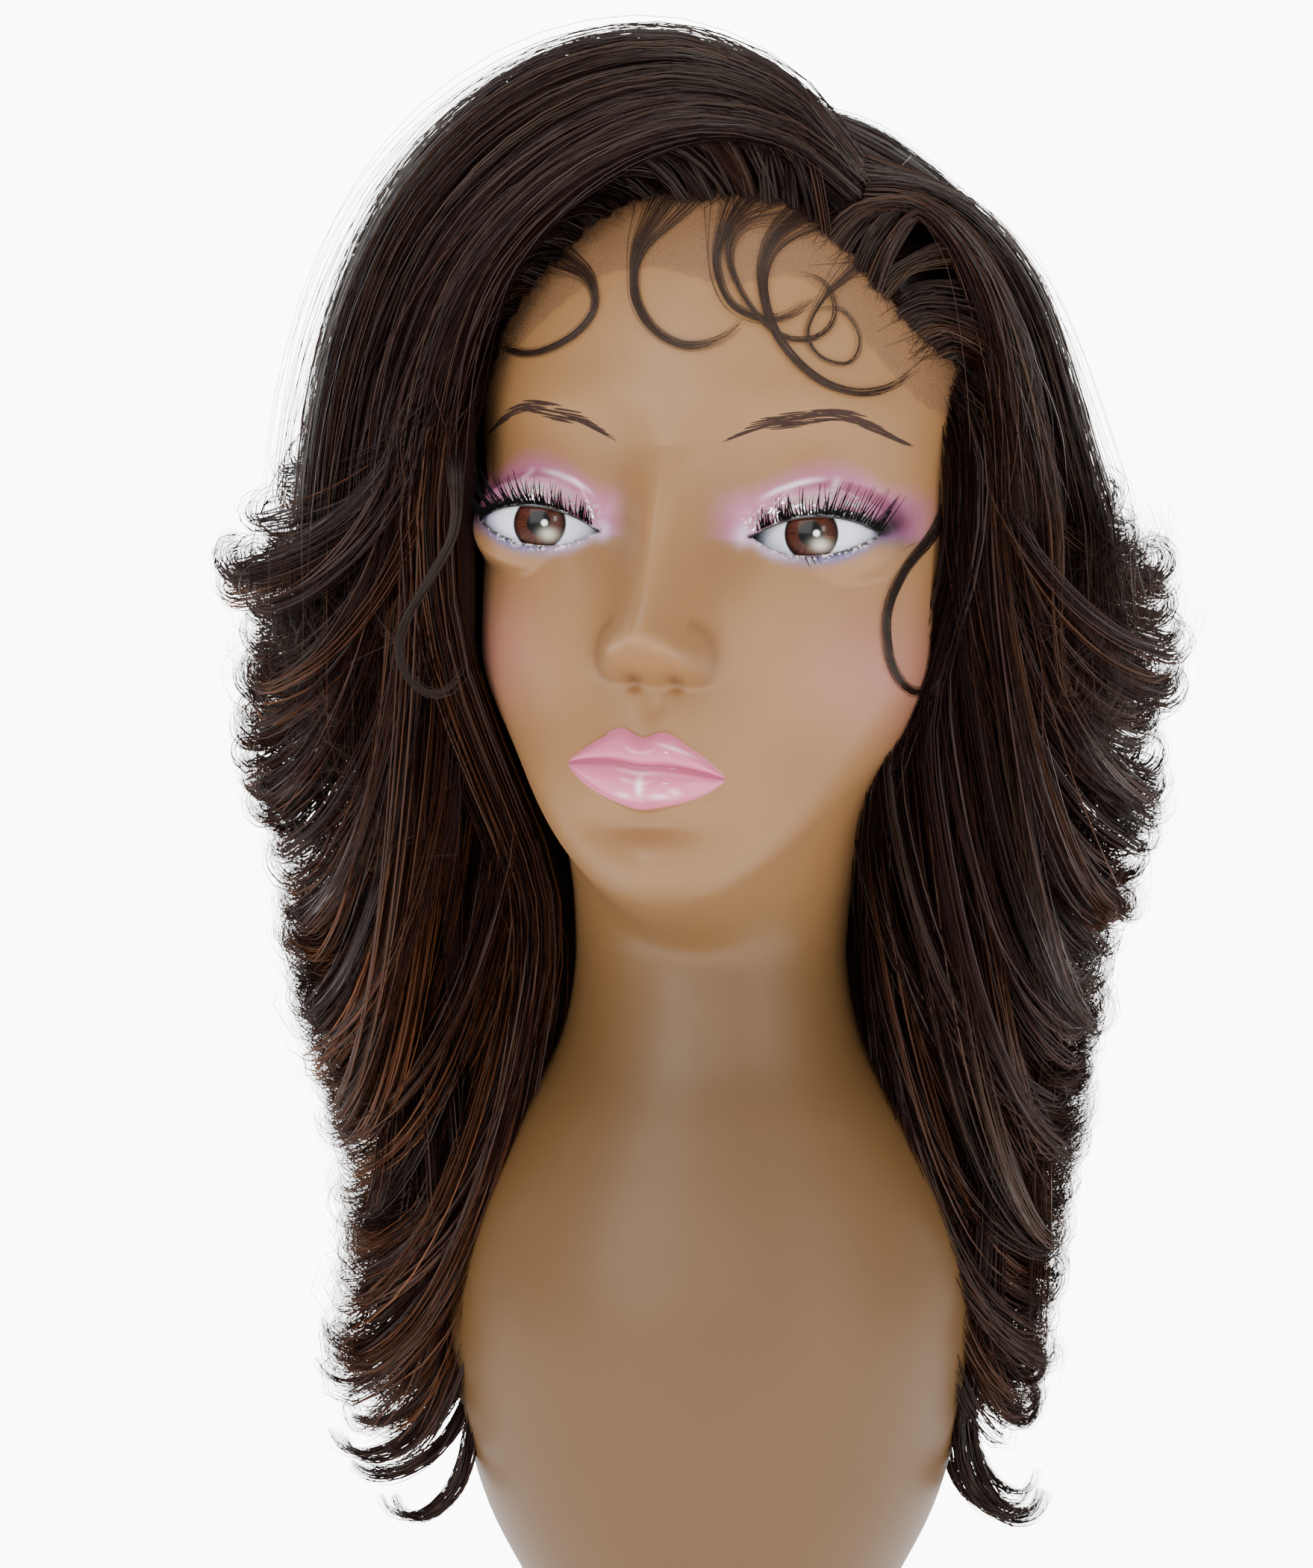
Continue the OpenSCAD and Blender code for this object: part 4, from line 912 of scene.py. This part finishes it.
def fall_guides(rng, low, high, count, ends, drift):
    """Guides of a fall between two angles. Outer hairs end high, inner ones lower, and each leaves
    the trunk in a quarter turn outward and finishes in an upward curl."""
    made = []
    for _ in range(count):
        a = rng.uniform(low, high)
        level = rng.uniform(0, 1) ** 1.3
        z_end = ends[0] + (ends[1] - ends[0]) * (0.5 * level + 0.5 * rng.uniform())
        drop = rng.uniform(75, 185) * (0.8 + 0.3 * level)
        top = 398 - rng.uniform(0, 12)
        a_end = a + drift * rng.uniform(0.5, 1.2) + rng.normal() * 0.05
        r = rng.uniform(4, 9)
        reach = fullness(a_end, z_end) * (1.05 - 0.16 * rng.uniform()) - r * 0.8
        trunk = (1.5 + 10 * rng.uniform()) * (1 - 0.4 * level)
        start = fullness(a, 385) * (0.15 + 0.85 * level)
        leave = min(z_end + drop, 372)
        clear = math.copysign(max(0, 1.30 - abs(a)), a)
        path = [around(a, start - 4, top), around(a, start, 382)]
        if leave < 330:
            path.append(around(a, trunk + 0.55 * max(start - trunk, 0), 345))
        for z in np.arange(300, leave + 12, -42):
            path.append(around(a + clear * ease((255 - z) / 90) + rng.normal() * 0.012,
                trunk + 3 * math.sin(z / 23 + a * 9), z))
        a += clear * ease((255 - leave) / 90)
        a_end += clear * ease((255 - z_end) / 90)
        hold = max(trunk, start * 0.6 if leave > 330 else 0)
        for q in (0.0, 0.3, 0.55, 0.78, 1.0):
            th = q * math.pi / 2
            depth = hold + (reach - hold) * (1 - math.cos(th)) ** 0.85
            path.append(around(a + (a_end - a) * ease(q), depth, z_end + (leave - z_end) * (1 - math.sin(th))))
        spin = rng.uniform(1.2, 3.2)
        side_turn = rng.normal() * 0.05
        for q in np.linspace(0.15, 1, 6):
            psi = q * spin
            path.append(around(a_end + side_turn * q, reach + r * math.sin(psi) * (1 - 0.25 * q),
                z_end + r * (1 - math.cos(psi)) * (1 - 0.25 * q)))
        made.append(np.array(path))
    return made


# The front of each side: where hair meets the face, neck and shoulder, and the outer outline.
EDGE_Z = (50, 104, 129, 154, 181, 215, 250, 267, 300, 330, 362, 400)
LEFT_EDGE = (78, 75, 71, 59, 48, 46, 58, 66, 74, 74, 72, 63)
RIGHT_EDGE = (78, 76, 68, 55, 45, 43, 44, 52, 63, 66, 66, 62)
OUT_Z = (40, 60, 80, 101, 124, 154, 193, 211, 233, 252, 268, 289, 307, 320, 336, 350, 372, 400)
LEFT_OUT = (74, 104, 112, 107, 109, 115, 123, 124, 129, 138, 137, 133, 143, 136, 129, 123, 114, 104)
RIGHT_OUT = (76, 92, 98, 100, 104, 108, 115, 123, 129, 131, 133, 135, 134, 128, 120, 113, 102, 88)
SWING = 1.42  # how far round its arc a lock has turned when it meets the outline


def edge_y(z):
    """How far forward the front edge of the hair lies at a height."""
    return np.interp(z, (100, 215, 262, 330, 400), (-6, -4, -34, -47, -40))


def flow_guides(rng, side, count, ends):
    """Guides of the front of one side. Each runs down the inner edge, leaves it in a long arc
    outward, meets the outline almost level and ends in a small upward curl."""
    edge, outline = (LEFT_EDGE, LEFT_OUT) if side < 0 else (RIGHT_EDGE, RIGHT_OUT)
    made = []
    for n in range(count):
        depth = rng.uniform(0, 1)
        z_end = ends[0] + (ends[1] - ends[0]) * (n + rng.uniform()) / count
        z_end += 5 * math.sin(z_end / 5.2)
        drop = rng.uniform(95, 190) * (0.72 + 0.42 * ease((z_end - 60) / 200))
        z_start = min(z_end + drop, 386)
        r = rng.uniform(3.5, 8.5)
        x_out = np.interp(z_end, OUT_Z, outline) * rng.uniform(0.93, 1.015) - 0.7 * r
        inset = 1 + 13 * rng.uniform() ** 1.3
        path = [(side * (np.interp(z, EDGE_Z, edge) + inset * 0.6 - 0.25 * (z - 350)),
                 edge_y(z) + 34 * depth + 0.5 * (z - 350), z) for z in (384, 372, 358)]
        for z in np.arange(340, z_start + 10, -30):
            path.append((side * (np.interp(z, EDGE_Z, edge) + inset), edge_y(z) + 34 * depth, z))
        z_leave = min(z_start, path[-1][2] - 4)
        x0 = np.interp(z_leave, EDGE_Z, edge) + inset
        y0 = edge_y(z_leave) + 34 * depth
        y1 = -14 + 30 * depth + 6 * math.sin(z_end / 17)
        for q in (0.0, 0.2, 0.4, 0.6, 0.8, 1.0):
            out = ((1 - math.cos(q * SWING)) / (1 - math.cos(SWING))) ** 0.82
            down = 1 - math.sin(q * SWING) / math.sin(SWING)
            path.append((side * (x0 + (x_out - x0) * out), y0 + (y1 - y0) * q - 9 * math.sin(math.pi * q),
                z_end + (z_leave - z_end) * down))
        spin = rng.uniform(1.4, 3.7)
        for q in np.linspace(0.14, 1, 7):
            psi = q * spin
            shrink = 1 - 0.3 * q
            path.append((side * (x_out + r * math.sin(psi) * shrink), y1 + 3 * q,
                z_end + r * (1 - math.cos(psi)) * shrink))
        made.append(np.array(path, float))
    return made


def streak(mid):
    """Locks of warmer hair, in bands down the outside of the lower falls."""
    z = mid[:, 2]
    return bell((z - 262) / 12) * 0.6 + bell((z - 205) / 13) + bell((z - 158) / 12) + bell((z - 118) / 15)


def left_tones(mid, rng):
    n = len(mid)
    tone = np.repeat(DARK[None], n, 0)
    tone = lay(tone, PLUM, rng.uniform(0, 1, n))
    warm = streak(mid)
    tone = lay(tone, AUBURN, (rng.uniform(0, 1, n) < 0.12 + 0.42 * warm) * rng.uniform(0.4, 1.0, n))
    return lay(tone, RUST, (rng.uniform(0, 1, n) < 0.03 + 0.22 * warm) * 0.9)


def right_tones(mid, rng):
    n = len(mid)
    tone = np.repeat(DARK[None], n, 0)
    tone = lay(tone, PLUM, rng.uniform(0, 1, n))
    tone = lay(tone, AUBURN, (rng.uniform(0, 1, n) < 0.10 + 0.22 * streak(mid)) * rng.uniform(0.3, 0.8, n))
    return lay(tone, ASH, (rng.uniform(0, 1, n) < 0.10) * 0.5)


D = math.radians
HAIRS_PER_FALL = 4000
rng = np.random.default_rng(2)
# Each fall: name, first and last angle, locks, highest and lowest ends, drift, radius of a lock at
# its root and at its tip, tones.
falls = (
    ("left_front", -84, -66, 180, (58, 338), 0, 5.0, 3.0, left_tones),
    ("left_side", -112, -84, 120, (60, 338), 0, 7.5, 2.8, left_tones),
    ("left_back", -139, -112, 46, (80, 320), 0, 7.0, 3.2, left_tones),
    ("right_front", 62, 84, 180, (62, 330), 0, 4.5, 3.0, right_tones),
    ("right_side", 84, 112, 120, (60, 330), 0, 7.0, 2.8, right_tones),
    ("right_back", 112, 139, 46, (80, 320), 0, 7.0, 3.2, right_tones),
    ("back_left", -166, -139, 46, (90, 250), 0, 7.5, 3.4, left_tones),
    ("back_middle", 166, 194, 46, (90, 250), 0, 7.5, 3.4, left_tones),
    ("back_right", 139, 166, 46, (90, 250), 0, 7.5, 3.4, right_tones),
)
for seed, (name, low, high, locks, ends, drift, root_r, tip_r, tones) in enumerate(falls):
    if name.endswith("front"):
        guides = flow_guides(rng, -1 if low < 0 else 1, locks, ends)
    else:
        guides = fall_guides(rng, D(low), D(high), locks, ends, drift)
    hair_piece("fall_" + name, ["hair_" + name], guides, HAIRS_PER_FALL // locks, 21 + seed, root_r, tip_r,
        tones, fall_mass(low, high))

# Hair under the falls: it starts behind the ears, lies in beside the neck, then sweeps out over
# the shoulder in wide arcs, so no light shows between the neck and the falls.
for side, name, tones in ((-1, "left", left_tones), (1, "right", right_tones)):
    guides = []
    for _ in range(150):
        depth = rng.uniform()
        a = side * D(rng.uniform(88, 122))
        z_end = rng.uniform(60, 205)
        z_in = rng.uniform(min(max(z_end + 80, 150), 255), 262)
        hug = np.interp(z_in, (130, 165, 200, 230, 262), (66, 54, 45, 47, 60)) + 2 + 16 * depth
        y_in = -2 + 42 * rng.uniform()
        a_end = side * D(rng.uniform(84, 112))
        r = rng.uniform(5, 11)
        reach = fullness(a_end, z_end) * rng.uniform(0.86, 1.0) - 0.8 * r
        path = [around(a, -10, 345), around(a, -12, 315), (side * (hug + 14), y_in + 4, z_in + 34),
            (side * hug, y_in, z_in)]
        goal = around(a_end, reach, z_end)
        for q in (0.35, 0.6, 0.8, 1.0):
            th = q * math.pi / 2
            m = (1 - math.cos(th))
            path.append((side * hug + (goal[0] - side * hug) * m, y_in + (goal[1] - y_in) * ease(q),
                z_end + (z_in - z_end) * (1 - math.sin(th))))
        spin = rng.uniform(0.8, 2.6)
        for q in np.linspace(0.2, 1, 5):
            path.append(around(a_end, reach + r * math.sin(q * spin), z_end + r * (1 - math.cos(q * spin))))
        guides.append(np.array(path, float))
    z, u = np.meshgrid(np.linspace(330, 108, 40), np.linspace(0, 1, 14), indexing="ij")
    near = np.interp(z, (108, 130, 165, 200, 230, 262, 330), (80, 72, 58, 46, 48, 62, 78)) + 1.5
    inner = np.stack([side * near, 4 + 52 * u, z], -1)
    thick = 2 + 10 * ease((z - 108) / 60) * ease((330 - z) / 40)
    outer = np.stack([side * (near + thick), 2 + 56 * u, z], -1)
    if side < 0:
        inner, outer = inner[:, ::-1], outer[:, ::-1]
    hair_piece("under_" + name, ["hair_under_" + name], guides, 25, 41 + side, 5.5, 3.0, tones,
        (inner, outer))

# The lowest tips hang clear of the falls beside the bust and end in separate loose hooks.
for side, name, tones in ((-1, "left", left_tones), (1, "right", right_tones)):
    hooks = [
        [(-80, 130), (-80, 105), (-88, 90), (-99, 83), (-108, 85), (-112, 92)],
        [(-84, 125), (-85, 104), (-94, 90), (-104, 86), (-110, 90)],
        [(-74, 110), (-73, 84), (-80, 68), (-92, 58), (-103, 57), (-108, 64)],
        [(-78, 108), (-78, 84), (-86, 70), (-97, 64), (-105, 66)],
        [(-70, 100), (-70, 76), (-77, 60), (-88, 52), (-98, 50), (-105, 54)],
        [(-70, 90), (-69, 68), (-73, 50), (-82, 41), (-90, 42), (-93, 48)],
    ]
    if side > 0:
        hooks = [
            [(76, 110), (74, 84), (71, 62), (76, 46), (86, 38), (94, 40), (97, 47)],
            [(78, 106), (76, 84), (76, 60), (83, 45), (91, 43), (94, 50)],
            [(84, 118), (84, 96), (88, 82), (95, 78), (98, 84), (95, 89)],
            [(80, 112), (80, 88), (84, 72), (91, 66), (95, 71), (92, 76)],
            [(73, 96), (71, 72), (73, 52), (80, 42), (88, 40)],
        ]
    guides = []
    for hook in hooks:
        for shift in rng.normal(0, 2.2, (3, 2)):
            y0 = -12 + 20 * rng.uniform()
            x0, z0 = hook[0]
            outline = [(x0 + side * 4, z0 + 70), (x0 + side * 2, z0 + 34)] + hook
            k = len(outline)
            guides.append(np.array([(x + shift[0] * i / k, y0 - 6 * i / k, z + shift[1] * i / k)
                                    for i, (x, z) in enumerate(outline)], float))
    hair_piece("tips_" + name, ["hair_tips_" + name], guides, 44, 51 + side, 3.6, 0.7, tones, stray=0.05,
        width=0.34)


skull_t, skull_a = np.meshgrid(np.linspace(CROWN - 0.02, 19, 50), np.radians(np.linspace(-180, 180, 90)),
    indexing="ij")
skull_tree = BVHTree.FromPolygons([Vector(p) for p in on_loft(skull_t, skull_a).reshape(-1, 3)],
    grid_quads(50, 90).tolist())
skull_middle = Vector((4, 12, 350))


def stand_off(path, clear):
    """Lifts the points of a curve that come too near the skull, or that lie inside it."""
    made = []
    for p in path:
        near, normal = skull_tree.find_nearest(Vector(p))[:2]
        if normal.dot(near - skull_middle) < 0:
            normal = -normal
        gap = (Vector(p) - near).dot(normal)
        made.append(near + normal * clear if gap < clear else Vector(p))
    return np.array(made)


def sheet_guides(rng, corners, count):
    """Guides spread over the four corner curves of a sweep: front or back, inner or outer."""
    curves = [resample(c, 9) for c in corners]
    made = []
    for _ in range(count):
        w, level = rng.uniform(), rng.uniform() ** 0.7
        front = curves[0] + (curves[1] - curves[0]) * level
        rear = curves[2] + (curves[3] - curves[2]) * level
        line = stand_off(front + (rear - front) * w, 4 + 5 * level)
        last, r = line[-1], rng.uniform(5, 10)
        out = (last - (OVAL_X, OVAL_Y, last[2])) / np.linalg.norm((last - (OVAL_X, OVAL_Y, last[2]))[:2])
        fallen = rng.uniform(-22, 80) * (1.35 - level)
        flick = (3 + 12 * level) * rng.uniform(0.2, 1.1)
        tail = [last + out * flick * q ** 1.6 + (0, 0, -(18 + fallen) * math.sin(q * math.pi / 2))
            for q in (0.35, 0.7, 1.0)]
        tail += [tail[-1] + out * r * math.sin(q * 2.6) + (0, 0, r * (1 - math.cos(q * 2.6)))
            for q in (0.25, 0.5, 0.75, 1.0)]
        made.append(np.concatenate([line, tail]))
    return made


def hairline(a):
    """The ring height of the hairline at an angle from the front of the face."""
    return 26 + (22.6 - 26) * ease((abs(a) - D(20)) / D(50))


def edge_guides(rng, corners, angles, count):
    """Hairs rooted along the hairline that lift off the lace and then join the sweep."""
    curves = [resample(c, 30) for c in corners]
    made = []
    for _ in range(count):
        a = rng.uniform(*angles)
        root = on_loft(hairline(a) + rng.uniform(-0.05, 0.3), a, 0.6)
        level = rng.uniform(0.02, 0.45)
        line = curves[0] + (curves[1] - curves[0]) * level
        at = int(np.argmin(np.linalg.norm(line - root, axis=1)))
        first, rest = min(at + 3, 27), np.arange(min(at + 6, 28), 30, 3)
        rest = stand_off(line[rest], 3 + 6 * level)
        made.append(np.concatenate([[root, root + (line[first] - root) * 0.35 + (0, -1.5, 3.5)],
            line[[first]], rest]))
    return made


def top_tones(mid, rng):
    n = len(mid)
    tone = lay(np.repeat(DARK[None], n, 0), PLUM, rng.uniform(0, 1, n))
    tone = lay(tone, ASH, (rng.uniform(0, 1, n) < 0.16 + 0.4 * ease((mid[:, 2] - 425) / 30))
        * rng.uniform(0.3, 0.9, n))
    return lay(tone, AUBURN, (rng.uniform(0, 1, n) < 0.12) * 0.6)


def plum_tones(mid, rng):
    n = len(mid)
    return lay(lay(np.repeat(DARK[None], n, 0), PLUM, rng.uniform(0.2, 1, n)), AUBURN,
        (rng.uniform(0, 1, n) < 0.1) * 0.5)


# Corner curves of a sweep: the front edge inner and outer, then the rear edge inner and outer.
left_sweep = [
    [(40, -55, 413), (24, -63, 424), (-6, -68, 427), (-38, -62, 413), (-62, -52, 388), (-76, -42, 352),
        (-80, -36, 318)],
    [(38, -50, 418), (22, -50, 444), (-18, -44, 461), (-62, -36, 448), (-96, -28, 412), (-112, -20, 366),
        (-118, -16, 326)],
    [(16, 10, 442), (0, 18, 444), (-36, 28, 437), (-66, 34, 412), (-80, 36, 385), (-86, 38, 350),
        (-86, 38, 318)],
    [(16, 8, 444), (2, 14, 458), (-30, 22, 460), (-72, 28, 440), (-100, 30, 402), (-112, 32, 362),
        (-114, 32, 326)],
]


def cap_mass(low, high, t_low):
    """A low closed mass over the cap under a top piece."""
    u, a = np.meshgrid(np.linspace(1, 0, 24), np.radians(np.linspace(low, high, 24)), indexing="ij")
    bottom = np.maximum(hairline(a) + 0.35, t_low)
    t = bottom + (28.6 - bottom) * u
    return on_loft(t, a, 1.6), on_loft(t, a, 2 + 1.8 * ease((t - bottom) / 1.5))


hair_piece("top_sweep", ["hair_top_sweep"], sheet_guides(rng, left_sweep, 150), 26, 31, 5.0, 5.5, top_tones,
    cap_mass(-100, 34, 22.8), width=0.34, stray=0.09, crowd=1)
hair_piece("top_sweep_over", ["hair_top_sweep"], sheet_guides(rng, left_sweep, 150), 26, 131, 7.0, 7.0,
    top_tones, width=0.28, stray=0.15, crowd=1)
hair_piece("hairline_left", ["hair_top_sweep"], edge_guides(rng, left_sweep, (D(-68), D(34)), 130), 28, 132,
    1.6, 5.0, plum_tones, width=0.28, crowd=1)
right_sweep = [
    [(43, -54, 411), (54, -59, 409), (66, -57, 398), (75, -53, 376), (80, -47, 350), (82, -44, 320)],
    [(42, -50, 415), (58, -50, 415), (77, -44, 406), (92, -37, 387), (103, -28, 358), (114, -22, 324)],
    [(18, 10, 441), (40, 16, 434), (62, 20, 417), (76, 22, 394), (84, 24, 360), (88, 24, 326)],
    [(19, 8, 443), (43, 12, 437), (68, 16, 424), (88, 20, 400), (100, 22, 368), (110, 24, 328)],
]
hair_piece("part_side", ["hair_part_side"], sheet_guides(rng, right_sweep, 150), 26, 32, 4.0, 5.0,
    top_tones, cap_mass(38, 110, 22.8), width=0.34, stray=0.07, crowd=1)
laid_flat = []  # short hairs that lie back over the cap beside the parting
for _ in range(70):
    a, up = rng.uniform(D(32), D(72)), rng.uniform(0.1, 1.3)
    laid_flat.append(np.array([on_loft(hairline(a) + 0.2 + up * q, a + D(40) * q, 1.2 + 4 * q)
        for q in np.linspace(0, 1, 6)]))
right_guides = (edge_guides(rng, right_sweep, (D(34), D(72)), 110) + sheet_guides(rng, right_sweep, 40)
    + laid_flat)
hair_piece("hairline_right", ["hair_part_side"], right_guides, 17, 133, 1.8, 5.0, top_tones, width=0.28,
    crowd=1)
crown_guides = []
for _ in range(120):
    a = rng.uniform(D(62), D(265))
    level = rng.uniform()
    near = math.atan2(math.sin(a), math.cos(a))
    ox, oy = math.sin(a), -math.cos(a)
    rise = 18 * level * (0.2 + 0.8 * ease((a - D(100)) / D(60)))
    path = stand_off([(16 + 4 * ox, 12 + 4 * oy, 440 + 3 * level), (14 + 34 * ox, 14 + 36 * oy, 436 + rise),
                      (8 + 70 * ox, 12 + 76 * oy, 409 + 0.9 * rise),
                      (5 + (84 + 12 * level) * ox, 9 + (98 + 12 * level) * oy, 378)], 4 + 6 * level)
    ends = np.arange(350, rng.uniform(190, 335), -32)
    tail = [around(near, fullness(near, z) * (0.25 + 0.72 * level), z) for z in ends]
    crown_guides.append(np.concatenate([path, tail]))
hair_piece("crown", ["hair_crown"], crown_guides, 33, 33, 5.0, 6.0, top_tones, cap_mass(110, 260, 21.5),
    width=0.36, crowd=1)

# ---- Lace -----------------------------------------------------------------------------------
# A fine knotted mesh, glued down from ear to ear, that the hairline is tied into; and the short
# strip of it that shows in the parting.


def lace_material():
    """Skin-toned threads with open holes between them."""
    made, tree, shader = new_material("swiss_lace", Base_Color=(*srgb(118, 84, 60), 1), Roughness=0.7)
    place = add_node(tree, "TexCoord")
    threads = add_node(tree, "TexVoronoi")
    threads.feature = "DISTANCE_TO_EDGE"
    threads.inputs["Scale"].default_value = 1100
    hole = add_node(tree, "MapRange", From_Min=0.14, From_Max=0.22, To_Min=0.45, To_Max=0.0)
    tree.links.new(place.outputs["Object"], threads.inputs["Vector"])
    tree.links.new(threads.outputs["Distance"], hole.inputs["Value"])
    tree.links.new(hole.outputs["Result"], shader.inputs["Alpha"])
    return made


swiss_lace = lace_material()
t_u, lace_a = np.meshgrid(np.linspace(0, 1, 30), np.radians(np.linspace(-80, 80, 140)), indexing="ij")
lace_low = hairline(lace_a) - 1.3 - 0.12 * np.sin(9 * lace_a) - 0.05 * np.abs(np.mod(lace_a * 28, 2) - 1)
lace_t = lace_low + (hairline(lace_a) + 0.6 - lace_low) * t_u
lace_points = on_loft(lace_t, lace_a, 0.7)
lace = quad_mesh("lace_sheet", lace_points.reshape(-1, 3), grid_quads(30, 140))
lace.data.materials.append(swiss_lace)
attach(lace, "wig")
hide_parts("lace_front")
rise, run = lace_points[1:, :-1] - lace_points[:-1, :-1], lace_points[:-1, 1:] - lace_points[:-1, :-1]
nodes["part_lace"].data.materials.clear()
nodes["part_lace"].data.materials.append(plain_material("parting_lace", (140, 108, 84), 0.7))

# ---- Baby hair ------------------------------------------------------------------------------
# Fine swirls combed down over the lace, each a flat ribbon of single hairs that thins to its tip,
# and a curled tendril in front of each ear.
world_tree = BVHTree.FromPolygons([Vector(p) for p in flat_world], kept.tolist())


def lie_on_skin(points, clear):
    """Points x, z dropped straight back onto the face, then stood clear of it."""
    made = []
    for x, z in points:
        hit = world_tree.ray_cast(Vector((x, -300, z)), Vector((0, 1, 0)))
        made.append((x, (hit[0].y if hit[0] else -30) - clear, z))
    return np.array(made)


def swirl(outline, hairs, spread, rng, clear=1.2, frizz=0.5, fan=3.4):
    """Single hairs that share a curve drawn in x, z."""
    made = []
    line = resample([(x, 0, z) for x, z in outline], 34)[:, [0, 2]]
    along = np.gradient(line, axis=0)
    across = np.stack([-along[:, 1], along[:, 0]], 1) / np.linalg.norm(along, axis=1)[:, None]
    s = np.linspace(0, 1, 34)[:, None]
    for _ in range(hairs):
        off = (rng.normal() * (0.75 * spread + fan * (1 - ease(s / 0.42))) * (1 - 0.35 * s)
            + rng.normal() * frizz * np.sin(4 * s + rng.uniform(0, 6)) * s)
        cut = np.linspace(0, 33 * rng.uniform(0.72, 1.0), 34)
        path = line + across * off
        path = np.stack([np.interp(cut, np.arange(34), path[:, k]) for k in range(2)], 1)
        made.append(lie_on_skin(path, clear + rng.uniform(0, 0.6)))
    return made


rng = np.random.default_rng(77)
swirls = [
    ([(-50, 414), (-44, 400), (-35, 391), (-33, 381), (-40, 373), (-52, 370), (-64, 377), (-70, 388)], 42,
        0.9),
    ([(-8, 418), (-14, 409), (-21, 397), (-22, 384), (-17, 374), (-8, 369), (2, 371), (8, 377)], 46, 1.0),
    ([(10, 418), (4, 407), (0, 394), (3, 382), (10, 377), (19, 377), (29, 384)], 40, 0.9),
    ([(40, 412), (28, 409), (17, 400), (13, 389), (15, 376), (21, 366), (30, 359), (40, 357), (50, 360),
        (59, 368)], 46, 1.0),
    ([(30, 413), (20, 408), (8, 404), (4, 394), (9, 381), (18, 372), (28, 372), (33, 379), (30, 388),
        (22, 390)], 20, 0.7),
    ([(46, 404), (40, 396), (30, 384), (25, 373), (29, 366), (37, 365), (40, 372), (35, 380), (27, 379)],
        16, 0.6),
    ([(-60, 398), (-58, 388), (-64, 376), (-69, 362)], 16, 0.8),
]
hairs = []
for outline, count, spread in swirls:
    hairs += swirl(outline, count, spread, rng)
for _ in range(340):
    a = rng.uniform(D(-64), D(68))
    root = on_loft(hairline(a) + 0.1, a, 1.0)
    dx, dz = rng.normal() * 3.5 - 1.5, -rng.uniform(1, 6)
    bend = rng.normal() * 2
    hairs += [lie_on_skin([(root[0] + dx * q + bend * q * q, root[2] + dz * q)
        for q in np.linspace(0, 1, 34)], 1.2)]
hairs = np.array(hairs)
s = np.linspace(0, 1, 34)
baby_tone = lay(np.broadcast_to(srgb(30, 20, 18), hairs.shape), srgb(60, 42, 34),
    rng.uniform(0, 1, (len(hairs), 34)) * 0.6)
LIFTED = np.array([0.0, -1.0, 0.15])
baby = ribbons("baby_hair_swirls", hairs, 0.21 * (1 - 0.5 * s), LIFTED, fibre_hair, baby_tone)
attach(baby, "wig")
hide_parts("baby_hair")
tendrils = {
    "left": [(-76, 352), (-72, 338), (-72, 320), (-79, 306), (-86, 294), (-87, 284), (-81, 276), (-74, 276),
        (-69, 283)],
    "right": [(76, 352), (70, 336), (62, 320), (53, 309), (48, 297), (49, 284), (55, 276), (63, 278),
        (66, 286), (61, 293)],
}
for name, outline in tendrils.items():
    line = np.array(swirl(outline, 46, 1.1, rng, frizz=0.9, fan=0.6))
    if name == "left":
        arc = -52 - 6 * np.sin(np.linspace(0, math.pi, 34))
        line[..., 1] = np.minimum(line[..., 1], arc) - rng.uniform(0, 3, (len(line), 1))
    else:
        line[..., 1] = np.minimum(line[..., 1], -36)
    line[..., 1] += 15 * (1 - ease(s / 0.3)) * (1 if name == "left" else 0.3)
    tone = lay(np.broadcast_to(srgb(13, 8, 8), line.shape), srgb(36, 21, 18),
        rng.uniform(0, 1, (len(line), 1)) * np.ones(34))
    curl = ribbons("tendril_curl_" + name, line, 0.28 * (1 - 0.6 * s), LIFTED, fibre_hair, tone)
    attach(curl, "wig")
    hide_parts("tendril_" + name)
